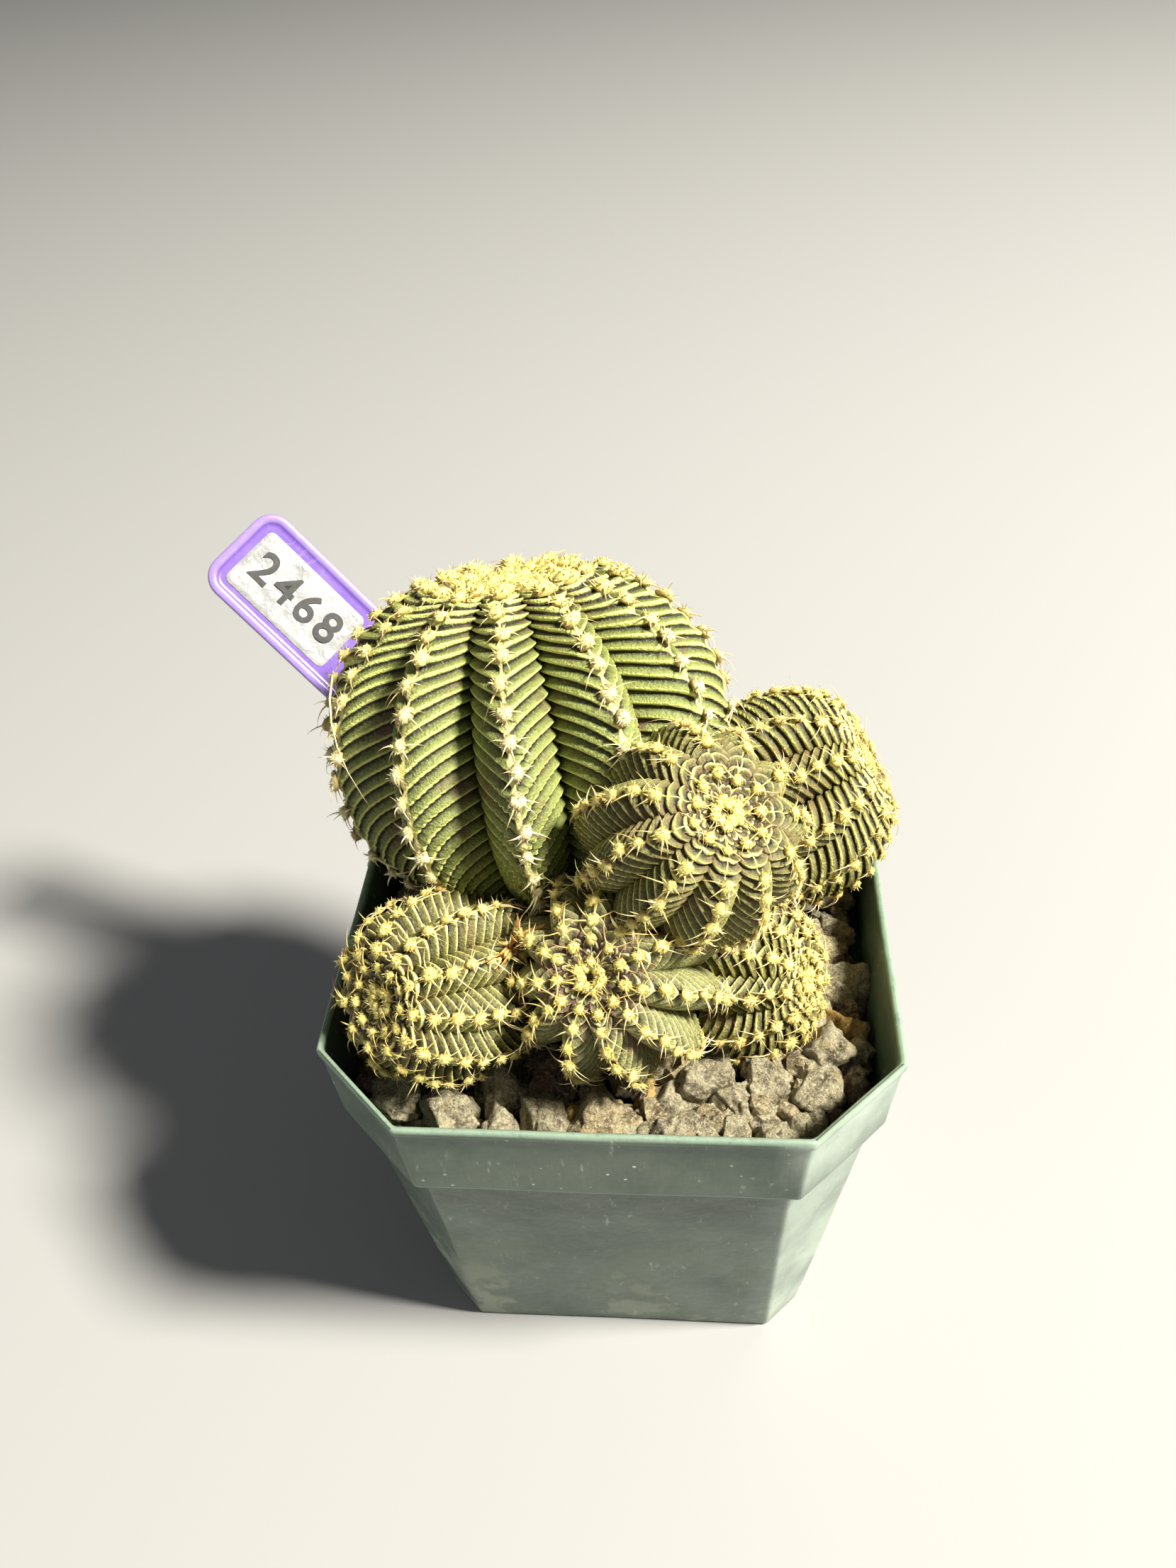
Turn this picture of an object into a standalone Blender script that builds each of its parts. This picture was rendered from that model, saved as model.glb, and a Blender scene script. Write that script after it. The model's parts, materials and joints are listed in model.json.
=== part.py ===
"""Potted round cactus: a ribbed stem with five offsets in a square plastic pot of grit, with a label.

Lengths are in metres, +Z is up, and the origin is the middle of the pot's base.
"""
import math

import bmesh
import bpy
import numpy as np

# Shared clearance between two pieces that touch
GAP = 0.0003
HALF_GAP = GAP / 2

# Pot: a square with cut corners, given by half its width and the corner cut along each side
POT_WIDTH = 0.0760
POT_HEIGHT = 0.0655
BAND_HEIGHT = 0.0143
BAND_TAPER = 0.0012
BAND_STEP = 0.0012
BODY_TAPER = 0.0079
RIM_HALF = POT_WIDTH / 2
BAND_HALF = RIM_HALF - BAND_TAPER
BODY_HALF = BAND_HALF - BAND_STEP
BASE_HALF = BODY_HALF - BODY_TAPER
RIM_CUT = 0.0120
BODY_CUT = 0.0118
BASE_CUT = 0.0049
WALL = 0.0011
FLOOR = 0.0014
LIP_HEIGHT = 0.0013
LIP_PROUD = 0.0004
CUT_PER_OFFSET = 2 - math.sqrt(2)
DRAIN_RADIUS = 0.0028
DRAIN_OFFSET = 0.0165
DRAIN_SIDES = 24

# Soil and top stones
SOIL_BELOW_BAND = 0.0006
BAND_BOTTOM = POT_HEIGHT - BAND_HEIGHT
SOIL_TOP = BAND_BOTTOM + SOIL_BELOW_BAND
STONE_FOOT = SOIL_TOP + GAP
STONE_LIMIT = 50
STONE_SMALL = 0.0026
STONE_LARGE = 0.0038
STONE_CROWDING = 0.71
STONE_TRIES = 5000
STONE_OPEN_SIDE = 0.0160
STONE_OPEN_SHARE = 0.6
STONE_SEED = 31

# Stems: centre (its height above the soil), radius to the rib crests, half height, lean from upright
# and its compass angle, angle of the first rib, number of ribs, how boxy the side is (1 is an ellipsoid)
STEMS = {
    "stem_main": ((-0.0124, 0.0148, 0.0344), 0.0283, 0.0232, 20.0, 107.0, 78.0, 12, 0.85),
    "offset_centre": ((0.0103, -0.0090, 0.0359), 0.0141, 0.0132, 36.8, -50.2, 138.1, 11, 0.72),
    "offset_right": ((0.0243, 0.0150, 0.0221), 0.0155, 0.0142, 60.0, 5.0, 99.1, 11, 0.80),
    "offset_lower_right": ((0.0179, -0.0095, 0.0107), 0.0111, 0.0102, 70.3, -20.9, 117.9, 11, 0.79),
    "offset_left": ((-0.0207, -0.0174, 0.0174), 0.0123, 0.0136, 60.5, 229.5, 114.0, 11, 0.68),
    "offset_front": ((0.0014, -0.0174, 0.0200), 0.0139, 0.0128, 45.0, 251.1, 69.0, 11, 0.80),
}
STEM_CENTRES = {name: (row[0][0], row[0][1], SOIL_TOP + row[0][2]) for name, row in STEMS.items()}
NECK_RADIUS = 0.0105
NECK_REACH = 1.75
RIB_DEPTH = 0.16
CROWN_DIP = 0.07
POINTS_PER_RIB = {"stem_main": 6}
OFFSET_POINTS_PER_RIB = 4
STEM_RINGS = {"stem_main": 13}
OFFSET_RINGS = 9
STEM_CLEAR_SCALE = 1.07

# Label: a flat stake pushed into the soil, with a strip of tape in its shallow front recess
# Its far edge stays put when its width changes, because that edge stands near the pot's wall
STAKE_EDGE_TOP = (-0.0549, 0.0491, SOIL_TOP + 0.0519)
STAKE_EDGE_AT_SOIL = (-0.0080, 0.0317, SOIL_TOP + 0.0038)
STAKE_ACROSS = (0.631, 0.683, 0.368)
STAKE_WIDTH = 0.0152
STAKE_THICK = 0.0012
STAKE_BURIED = 0.0140
STAKE_CORNER = 0.0036
STAKE_POINT = 0.0090
STAKE_TIP_WIDTH = 0.0040
STAKE_BORDER = 0.0017
RECESS_DEPTH = 0.00035
RECESS_LENGTH = 0.0330
TAPE_WIDTH = 0.0105
TAPE_LENGTH = 0.0200
TAPE_THICK = 0.0003
TAPE_CORNER = 0.0011
TAPE_FROM_TOP = 0.0027
TAPE_ASIDE = -0.0004
CORNER_STEPS = 6

# Stones given a place by hand: x, y, radius and material
KEY_STONES = [
    (-0.0005, -0.0300, 0.0040, "stone_tan"),
    (-0.0140, -0.0312, 0.0035, "stone_grey"),
    (0.0322, -0.0128, 0.0031, "stone_orange"),
    (0.0262, -0.0305, 0.0029, "stone_brown"),
    (0.0205, -0.0325, 0.0025, "stone_orange"),
    (-0.0268, -0.0300, 0.0029, "stone_orange"),
    (-0.0330, -0.0225, 0.0026, "stone_tan"),
    (0.0170, -0.0255, 0.0033, "stone_grey"),
    (0.0268, -0.0220, 0.0034, "stone_grey"),
    (0.0325, 0.0060, 0.0033, "stone_grey"),
    (0.0318, 0.0150, 0.0031, "stone_grey"),
    (0.0085, -0.0310, 0.0034, "stone_grey"),
    (0.0235, -0.0262, 0.0027, "stone_tan"),
    (0.0140, -0.0322, 0.0028, "stone_tan"),
]
STONE_MIX = ["stone_grey", "stone_grey", "stone_grey", "stone_tan", "stone_grey", "stone_brown", "stone_grey"]

COLOURS = {
    "pot_plastic": ((0.075, 0.165, 0.125), 0.42),
    "soil": ((0.075, 0.062, 0.050), 0.95),
    "stem_skin": ((0.115, 0.185, 0.050), 0.75),
    "stake_plastic": ((0.270, 0.160, 0.620), 0.30),
    "tape": ((0.520, 0.530, 0.560), 0.35),
    "stone_grey": ((0.270, 0.250, 0.230), 0.92),
    "stone_tan": ((0.420, 0.330, 0.230), 0.92),
    "stone_orange": ((0.520, 0.300, 0.110), 0.90),
    "stone_brown": ((0.140, 0.085, 0.055), 0.92),
}


def clear_scene():
    for obj in list(bpy.data.objects):
        bpy.data.objects.remove(obj)


def make_materials():
    made = {}
    for name, (rgb, roughness) in COLOURS.items():
        mat = bpy.data.materials.new(name)
        mat.use_nodes = True
        shader = mat.node_tree.nodes["Principled BSDF"]
        shader.inputs["Base Color"].default_value = (*rgb, 1.0)
        shader.inputs["Roughness"].default_value = roughness
        made[name] = mat
    return made


def add_body(name, verts, faces, material=None):
    mesh = bpy.data.meshes.new(name)
    mesh.from_pydata([tuple(map(float, v)) for v in verts], [], [tuple(f) for f in faces])
    shape = bmesh.new()
    shape.from_mesh(mesh)
    bmesh.ops.recalc_face_normals(shape, faces=shape.faces)
    shape.to_mesh(mesh)
    shape.free()
    if material:
        mesh.materials.append(material)
    obj = bpy.data.objects.new(name, mesh)
    bpy.context.scene.collection.objects.link(obj)
    return obj


def cut_away(target, name, verts, faces):
    cutter = add_body(name, verts, faces)
    cutter.hide_render = True
    cutter.display_type = "WIRE"
    cut = target.modifiers.new(name, "BOOLEAN")
    cut.operation = "DIFFERENCE"
    cut.solver = "EXACT"
    cut.object = cutter


def octagon(half, cut, z):
    side = half - cut
    corners = [(half, -side), (half, side), (side, half), (-side, half)]
    corners += [(-half, side), (-half, -side), (-side, -half), (side, -half)]
    return [(x, y, z) for x, y in corners]


def stack_rings(rings):
    """Join rings of equal length, one above the other, and close both ends."""
    count = len(rings[0])
    verts = [point for ring in rings for point in ring]
    faces = [tuple(range(count))[::-1]]
    for low in range(len(rings) - 1):
        for i in range(count):
            j = (i + 1) % count
            faces.append((low * count + i, low * count + j, (low + 1) * count + j, (low + 1) * count + i))
    faces.append(tuple(range(len(verts) - count, len(verts))))
    return verts, faces


def outer_size(z):
    """Half width and corner cut of the pot's body below the band."""
    share = z / BAND_BOTTOM
    return BASE_HALF + (BODY_HALF - BASE_HALF) * share, BASE_CUT + (BODY_CUT - BASE_CUT) * share


def inner_size(z, inset=0.0):
    """Half width and corner cut of the inside of the body, drawn in by an extra inset."""
    half, cut = outer_size(z)
    shift = WALL + inset
    return half - shift, cut - CUT_PER_OFFSET * shift


def band_inner(inset=0.0):
    shift = WALL + inset
    return BAND_HALF - shift, RIM_CUT - CUT_PER_OFFSET * shift


def build_pot(material):
    lip_z = POT_HEIGHT - LIP_HEIGHT
    lip_cut = RIM_CUT + CUT_PER_OFFSET * LIP_PROUD
    under_half = RIM_HALF - LIP_PROUD
    ledge_z = BAND_BOTTOM + WALL
    top_inner = (RIM_HALF - WALL, RIM_CUT - CUT_PER_OFFSET * WALL)
    rings = [
        octagon(BASE_HALF, BASE_CUT, 0.0),
        octagon(BODY_HALF, BODY_CUT, BAND_BOTTOM),
        octagon(BAND_HALF, RIM_CUT, BAND_BOTTOM),
        octagon(under_half, RIM_CUT, lip_z),
        octagon(RIM_HALF, lip_cut, lip_z),
        octagon(RIM_HALF, lip_cut, POT_HEIGHT),
        octagon(*top_inner, POT_HEIGHT),
        octagon(*band_inner(), ledge_z),
        octagon(*inner_size(ledge_z), ledge_z),
        octagon(*inner_size(FLOOR), FLOOR),
    ]
    pot = add_body("pot", *stack_rings(rings), material)
    for i, (sx, sy) in enumerate([(1, 1), (-1, 1), (-1, -1), (1, -1)]):
        cutter = drain_cutter(sx * DRAIN_OFFSET, sy * DRAIN_OFFSET)
        cut_away(pot, f"cut_drain_{i}", *cutter)


def drain_cutter(x, y):
    rings = []
    for z in (-FLOOR, 2 * FLOOR):
        ring = []
        for i in range(DRAIN_SIDES):
            turn = 2 * math.pi * i / DRAIN_SIDES
            ring.append((x + DRAIN_RADIUS * math.cos(turn), y + DRAIN_RADIUS * math.sin(turn), z))
        rings.append(ring)
    return stack_rings(rings)


def unit(vector):
    vector = np.asarray(vector, float)
    return vector / np.linalg.norm(vector)


def stake_frame():
    """Middle of the stake at its top and at the soil, with its long, across and front directions."""
    edge_top = np.array(STAKE_EDGE_TOP)
    edge_foot = np.array(STAKE_EDGE_AT_SOIL)
    along = unit(edge_top - edge_foot)
    across = np.array(STAKE_ACROSS)
    across = unit(across - across.dot(along) * along)
    front = np.cross(across, along)
    to_middle = -across * STAKE_WIDTH / 2
    top, foot = edge_top + to_middle, edge_foot + to_middle
    return top, foot, along, across, front


def stake_point(a, b, c):
    """A point a across, b below the top end and c in front of the stake's middle plane."""
    top, _, along, across, front = stake_frame()
    return top + a * across - b * along + c * front


def rounded_corners(half_width, start, end, radius, both_ends):
    """Outline of a strip as (across, below top) pairs, its corners turned by arcs."""
    outline = []
    corners = [(1, start, 90), (-1, start, 180)]
    if both_ends:
        corners += [(-1, end, 270), (1, end, 0)]
    for side, edge, first in corners:
        inward = radius if edge == start else -radius
        for i in range(CORNER_STEPS + 1):
            turn = math.radians(first - 90 + 90 * i / CORNER_STEPS)
            a = side * (half_width - radius) + radius * math.cos(turn)
            outline.append((a, edge + inward - radius * math.sin(turn)))
    return outline


def extrude_strip(outline, low, high):
    rings = [[stake_point(a, b, c) for a, b in outline] for c in (low, high)]
    return stack_rings(rings)


def stake_length():
    top, foot, _, _, _ = stake_frame()
    return float(np.linalg.norm(top - foot)) + STAKE_BURIED


def build_stake(material):
    half = STAKE_WIDTH / 2
    length = stake_length()
    outline = rounded_corners(half, 0.0, length, STAKE_CORNER, False)
    outline += [(-half, length - STAKE_POINT), (-STAKE_TIP_WIDTH / 2, length)]
    outline += [(STAKE_TIP_WIDTH / 2, length), (half, length - STAKE_POINT)]
    half_thick = STAKE_THICK / 2
    stake = add_body("label_stake", *extrude_strip(outline, -half_thick, half_thick), material)
    recess_half = half - STAKE_BORDER
    corner = STAKE_CORNER - STAKE_BORDER
    recess = rounded_corners(recess_half, STAKE_BORDER, STAKE_BORDER + RECESS_LENGTH, corner, True)
    floor = half_thick - RECESS_DEPTH
    cut_away(stake, "cut_recess", *extrude_strip(recess, floor, half_thick + RECESS_DEPTH))


def build_tape(material):
    outline = rounded_corners(
        TAPE_WIDTH / 2, TAPE_FROM_TOP, TAPE_FROM_TOP + TAPE_LENGTH, TAPE_CORNER, True
    )
    outline = [(a + TAPE_ASIDE, b) for a, b in outline]
    low = STAKE_THICK / 2 - RECESS_DEPTH + GAP
    add_body("label_tape", *extrude_strip(outline, low, low + TAPE_THICK), material)


def build_soil(material):
    floor_z = FLOOR + GAP
    rings = [octagon(*inner_size(z, GAP), z) for z in (floor_z, SOIL_TOP)]
    soil = add_body("soil_fill", *stack_rings(rings), material)
    half = STAKE_WIDTH / 2 + GAP
    length = stake_length()
    start = length - 2 * STAKE_BURIED
    outline = [(half, start), (-half, start), (-half, length - STAKE_POINT), (-STAKE_TIP_WIDTH, length + GAP)]
    outline += [(STAKE_TIP_WIDTH, length + GAP), (half, length - STAKE_POINT)]
    reach = STAKE_THICK / 2 + GAP
    cut_away(soil, "cut_stake_slot", *extrude_strip(outline, -reach, reach))


def stem_axes(name):
    """The stem's own axis and two directions square to it."""
    _, _, _, lean, compass, _, _, _ = STEMS[name]
    lean, compass = math.radians(lean), math.radians(compass)
    axis = np.array([math.sin(lean) * math.cos(compass), math.sin(lean) * math.sin(compass), math.cos(lean)])
    first = unit(np.cross([0.0, 0.0, 1.0], axis))
    return axis, first, np.cross(axis, first)


def stem_radius(name, direction, scale=1.0):
    """Distance from the stem's centre to its rib-crest ellipsoid in a direction."""
    _, radius, height, *_ = STEMS[name]
    axis, _, _ = stem_axes(name)
    up = float(np.dot(direction, axis))
    side = math.sqrt(max(0.0, 1.0 - up * up))
    return scale / math.sqrt((up / height) ** 2 + (side / radius) ** 2)


def dividing_plane(centre_a, radius_a, centre_b, radius_b):
    """Plane through the circle two spheres share, as its normal from a and the distance from a."""
    away = np.subtract(centre_b, centre_a)
    distance = float(np.linalg.norm(away))
    reach = (distance ** 2 + radius_a ** 2 - radius_b ** 2) / (2 * distance)
    return away / distance, reach - HALF_GAP


def stem_planes(name):
    """Planes that keep one stem off the others."""
    centre = np.array(STEM_CENTRES[name])
    planes = []
    for other, place in STEM_CENTRES.items():
        if other == name:
            continue
        away = unit(np.subtract(place, centre))
        mine = stem_radius(name, away)
        theirs = stem_radius(other, -away)
        planes.append(dividing_plane(centre, mine, place, theirs))
    return planes


def pot_sides(half, cut):
    """Each side's outward normal and its distance from the pot's axis."""
    corner = (2 * half - cut) / math.sqrt(2)
    sides = []
    for i in range(8):
        turn = math.radians(45 * i)
        normal = np.array([math.cos(turn), math.sin(turn), 0.0])
        sides.append((normal, half if i % 2 == 0 else corner))
    return sides


def pot_planes(centre):
    """Planes that keep a body inside the pot, or off its rim when its centre is above the rim."""
    planes = []
    above = centre[2] > POT_HEIGHT
    size = (RIM_HALF - WALL, RIM_CUT - CUT_PER_OFFSET * WALL) if above else inner_size(STONE_FOOT)
    for normal, distance in pot_sides(*size):
        room = distance - float(normal.dot(centre))
        if above:
            towards = normal * room + np.array([0.0, 0.0, POT_HEIGHT - centre[2]])
            reach = float(np.linalg.norm(towards))
            planes.append((towards / reach, reach - GAP))
        else:
            planes.append((normal, room - GAP))
    return planes


def soil_plane(centre):
    return np.array([0.0, 0.0, -1.0]), float(centre[2]) - STONE_FOOT


def stake_plane(centre):
    """Plane just in front of the stake, seen from a body's centre."""
    top, _, _, _, front = stake_frame()
    distance = float(np.dot(np.subtract(centre, top), front)) - STAKE_THICK / 2 - GAP
    return -front, distance


def press_against(points, centre, planes):
    """Draw each point towards the centre until it is behind every plane."""
    rel = points - centre
    shrink = np.ones(len(rel))
    for normal, reach in planes:
        out = rel @ normal
        beyond = out > reach
        shrink[beyond] = np.minimum(shrink[beyond], reach / out[beyond])
    return centre + rel * shrink[:, None]


def rib_profile(turn):
    """0 on a rib's crest and 1 in the valley beside it, with a sharp crest and a narrow valley."""
    share = np.abs((turn + 0.5) % 1.0 - 0.5) * 2
    return 0.3 * share + 0.7 * share ** 2.4


def stem_rings(name):
    """Rings of the stem's profile as (radius, height, rib strength), from the crown down."""
    _, radius, height, _, _, _, _, boxy = STEMS[name]
    count = STEM_RINGS.get(name, OFFSET_RINGS)
    rings = []
    for i in range(1, count):
        angle = math.pi * i / count
        rise = height * math.cos(angle) * (1 - CROWN_DIP * max(0.0, math.cos(angle)) ** 12)
        rings.append((radius * math.sin(angle) ** boxy, rise, math.sin(angle) ** 0.7))
    if name == "stem_main":
        keep = [ring for ring in rings if ring[1] > -0.8 * height]
        rings = keep + [(NECK_RADIUS, -height, 0.0), (NECK_RADIUS, -NECK_REACH * height, 0.0)]
    return rings


def build_stem(name, material):
    _, _, height, _, _, first_rib, ribs, _ = STEMS[name]
    centre = np.array(STEM_CENTRES[name])
    axis, side_a, side_b = stem_axes(name)
    count = ribs * POINTS_PER_RIB.get(name, OFFSET_POINTS_PER_RIB)
    turns = np.arange(count) / count
    angles = math.radians(first_rib) + 2 * math.pi * turns
    depth = rib_profile(turns * ribs)
    rings = stem_rings(name)
    points = [centre + height * (1 - CROWN_DIP) * axis]
    for radius, rise, strength in rings:
        reach = radius * (1 - RIB_DEPTH * strength * depth)
        flat = np.outer(np.cos(angles) * reach, side_a) + np.outer(np.sin(angles) * reach, side_b)
        points.extend(centre + flat + rise * axis)
    points.append(centre + rings[-1][1] * axis if name == "stem_main" else centre - height * axis)
    planes = stem_planes(name) + pot_planes(centre) + [soil_plane(centre)]
    if name == "stem_main":
        planes.append(stake_plane(centre))
    points = press_against(np.array(points), centre, planes)
    add_body(name, points, ring_faces(len(rings), count), material)


def ring_faces(rings, count):
    """Triangles and quads of a closed surface with a point at each end."""
    last = 1 + rings * count
    faces = []
    for i in range(count):
        j = (i + 1) % count
        faces.append((0, 1 + i, 1 + j))
        faces.append((last, last - count + j, last - count + i))
        for row in range(rings - 1):
            low = 1 + row * count
            faces.append((low + i, low + count + i, low + count + j))
            faces.append((low + i, low + count + j, low + j))
    return faces


def unit_ball():
    shape = bmesh.new()
    bmesh.ops.create_icosphere(shape, subdivisions=2, radius=1.0)
    points = np.array([v.co[:] for v in shape.verts])
    faces = [tuple(v.index for v in f.verts) for f in shape.faces]
    shape.free()
    return points, faces


def stone_centre(x, y, radius):
    return np.array([x, y, STONE_FOOT + 0.8 * radius])


def is_covered(x, y):
    """True where a stem hangs over the soil, so a stone there could not be seen."""
    for name, place in STEM_CENTRES.items():
        centre = np.array(place)
        for z in np.linspace(STONE_FOOT, centre[2], 8):
            away = np.array([x, y, z]) - centre
            distance = float(np.linalg.norm(away))
            if distance < 0.80 * stem_radius(name, away / distance):
                return True
    return False


def stone_fits(x, y, radius, placed):
    for px, py, other, _ in placed:
        if math.hypot(px - x, py - y) < STONE_CROWDING * (radius + other):
            return False
    centre = stone_centre(x, y, radius)
    room = min(reach for _, reach in pot_planes(centre))
    if room < 0.62 * radius:
        return False
    for name, place in STEM_CENTRES.items():
        away = centre - np.array(place)
        distance = float(np.linalg.norm(away))
        if distance - stem_radius(name, away / distance, STEM_CLEAR_SCALE) < 0.55 * radius:
            return False
    top, _, _, across, front = stake_frame()
    from_stake = centre - top
    beside = abs(from_stake @ across) < STAKE_WIDTH / 2 + radius
    if beside and abs(from_stake @ front) < radius + STAKE_THICK:
        return False
    return True


def place_stones():
    """Hand-placed stones first, then seeded ones, from large to small, first on the open front and right."""
    rng = np.random.default_rng(STONE_SEED)
    placed = [stone for stone in KEY_STONES if stone_fits(*stone[:3], [])]
    half = BAND_HALF - WALL
    for i in range(STONE_TRIES):
        x, y = rng.uniform(-half, half, 2)
        share = i / STONE_TRIES
        on_open_side = y < -STONE_OPEN_SIDE or x > STONE_OPEN_SIDE
        if share < STONE_OPEN_SHARE and not on_open_side:
            continue
        radius = STONE_LARGE + (STONE_SMALL - STONE_LARGE) * share
        if len(placed) < STONE_LIMIT and stone_fits(x, y, radius, placed) and not is_covered(x, y):
            placed.append((x, y, radius, STONE_MIX[len(placed) % len(STONE_MIX)]))
    return placed


def rough_stone(rng, ball, radius):
    """A ball cut by random flat facets, then made uneven."""
    reach = np.full(len(ball), radius * 1.12)
    for _ in range(9):
        normal = unit(rng.normal(size=3))
        facing = ball @ normal
        cut = radius * rng.uniform(0.78, 1.02)
        facet = np.where(facing > 0.2, cut / np.maximum(facing, 0.2), reach)
        reach = np.minimum(reach, facet)
    wave = unit(rng.normal(size=3))
    reach = reach * (1 + 0.05 * np.sin(7 * ball @ wave + rng.uniform(0, 6)))
    return ball * reach[:, None] * np.array([rng.uniform(0.9, 1.1), rng.uniform(0.9, 1.1), 0.92])


def stone_planes(index, placed):
    x, y, radius, _ = placed[index]
    centre = stone_centre(x, y, radius)
    planes = pot_planes(centre) + [soil_plane(centre)]
    for name, place in STEM_CENTRES.items():
        away = unit(np.array(place) - centre)
        distance = float(np.linalg.norm(np.array(place) - centre))
        axis, _, _ = stem_axes(name)
        planes.append(stem_tangent(name, centre, away, distance, axis))
    for j, (ox, oy, other, _) in enumerate(placed):
        if j != index:
            planes.append(dividing_plane(centre, radius, stone_centre(ox, oy, other), other))
    return planes


def stem_tangent(name, centre, away, distance, axis):
    """Plane touching the enlarged stem ellipsoid on the side that faces a stone."""
    _, radius, height, *_ = STEMS[name]
    touch = stem_radius(name, -away, STEM_CLEAR_SCALE) * -away
    along = float(touch @ axis) * axis
    normal = -unit(along / height ** 2 + (touch - along) / radius ** 2)
    to_touch = away * distance + touch
    return normal, float(to_touch @ normal) - GAP


def build_stones(materials):
    ball, faces = unit_ball()
    placed = place_stones()
    for index, (x, y, radius, kind) in enumerate(placed):
        rng = np.random.default_rng(STONE_SEED + 1 + index)
        centre = stone_centre(x, y, radius)
        points = centre + rough_stone(rng, ball, radius)
        points = press_against(points, centre, stone_planes(index, placed))
        add_body(f"stone_{index + 1:02d}", points, faces, materials[kind])


def main():
    clear_scene()
    materials = make_materials()
    build_pot(materials["pot_plastic"])
    build_soil(materials["soil"])
    for name in STEMS:
        build_stem(name, materials["stem_skin"])
    build_stake(materials["stake_plastic"])
    build_tape(materials["tape"])
    build_stones(materials)


main()
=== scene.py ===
# %% [markdown]
# # A potted round cactus
#
# This lesson dresses a finished CAD model of a small cactus in a square plastic pot. The CAD fixes every
# place and size. Here each piece gets the surface that the eye reads: stepped skin, wool, spines, grit,
# scuffed plastic. Most shapes are formulas worked out on whole arrays of points, because a plant is full of
# repeats that a formula states better than a hand could place.

# %% Load the frame
import json
import math

import bmesh
import bpy
import numpy as np
from mathutils import Matrix, Vector


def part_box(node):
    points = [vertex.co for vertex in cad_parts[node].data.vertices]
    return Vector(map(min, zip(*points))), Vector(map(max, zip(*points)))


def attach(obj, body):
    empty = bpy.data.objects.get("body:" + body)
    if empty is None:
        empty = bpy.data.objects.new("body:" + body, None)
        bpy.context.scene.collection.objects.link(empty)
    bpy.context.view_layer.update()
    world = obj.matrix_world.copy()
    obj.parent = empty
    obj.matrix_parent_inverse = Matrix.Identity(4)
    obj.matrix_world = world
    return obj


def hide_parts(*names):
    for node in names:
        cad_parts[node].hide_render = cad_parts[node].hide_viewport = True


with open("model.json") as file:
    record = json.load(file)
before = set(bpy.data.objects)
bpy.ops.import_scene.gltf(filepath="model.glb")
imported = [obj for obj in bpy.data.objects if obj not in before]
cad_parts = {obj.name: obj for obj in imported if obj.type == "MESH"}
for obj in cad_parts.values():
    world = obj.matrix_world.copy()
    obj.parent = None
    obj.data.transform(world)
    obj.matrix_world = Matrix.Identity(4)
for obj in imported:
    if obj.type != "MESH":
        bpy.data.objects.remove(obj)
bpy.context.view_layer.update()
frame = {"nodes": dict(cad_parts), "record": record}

MM = 0.001

# %% [markdown]
# ## Helpers for points and meshes
#
# Every shape below is a table of points and a table of faces. One function turns the tables into a
# mesh, so the formulas stay free of Blender's bookkeeping. Values that the materials need, such as how far
# a point lies from a rib's crest, are stored on the points as named attributes.

# %% Helpers
def unit(vectors):
    """Each row divided by its own length."""
    vectors = np.asarray(vectors, float)
    return vectors / np.linalg.norm(vectors, axis=-1, keepdims=True)


def smooth_step(low, high, x):
    """0 below low, 1 above high, and 3t^2 - 2t^3 between them."""
    t = np.clip((x - low) / (high - low), 0.0, 1.0)
    return t * t * (3 - 2 * t)


def node_points(name):
    """Every vertex of a CAD node, one row each."""
    mesh = frame["nodes"][name].data
    flat = np.empty(len(mesh.vertices) * 3, np.float32)
    mesh.vertices.foreach_get("co", flat)
    return flat.reshape(-1, 3).astype(float)


def node_faces(name):
    """Middle and outward normal of every face of a CAD node."""
    mesh = frame["nodes"][name].data
    middle = np.empty(len(mesh.polygons) * 3, np.float32)
    normal = np.empty(len(mesh.polygons) * 3, np.float32)
    mesh.polygons.foreach_get("center", middle)
    mesh.polygons.foreach_get("normal", normal)
    return middle.reshape(-1, 3).astype(float), normal.reshape(-1, 3).astype(float)


def make_piece(name, points, faces, material, slot, stands_for=(), smooth=True, **values):
    """A mesh object at the origin that rides with the body, with named values stored on its points."""
    mesh = bpy.data.meshes.new(name)
    mesh.from_pydata(np.asarray(points).tolist(), [], [list(face) for face in faces])
    mesh.materials.append(material)
    for key, numbers in values.items():
        layer = mesh.attributes.new(key, "FLOAT", "POINT")
        layer.data.foreach_set("value", np.asarray(numbers, np.float32).ravel())
    mesh.polygons.foreach_set("use_smooth", np.full(len(mesh.polygons), smooth))
    mesh.update()
    piece = bpy.data.objects.new(name, mesh)
    bpy.context.scene.collection.objects.link(piece)
    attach(piece, "root")
    if stands_for:
        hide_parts(*stands_for)
    return piece


def lattice_noise(points, cell, seed):
    """Random numbers on the corners of a grid of cells, blended across each cell by 3t^2 - 2t^3."""
    table = np.random.default_rng(seed).uniform(-1, 1, (32, 32, 32))
    place = points / cell
    base = np.floor(place).astype(int)
    part = place - base
    part = part * part * (3 - 2 * part)
    total = np.zeros(points.shape[:-1])
    for corner in np.ndindex(2, 2, 2):
        weight = np.prod(np.where(corner, part, 1 - part), axis=-1)
        index = (base + corner) % 32
        total += weight * table[index[..., 0], index[..., 1], index[..., 2]]
    return total


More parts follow.
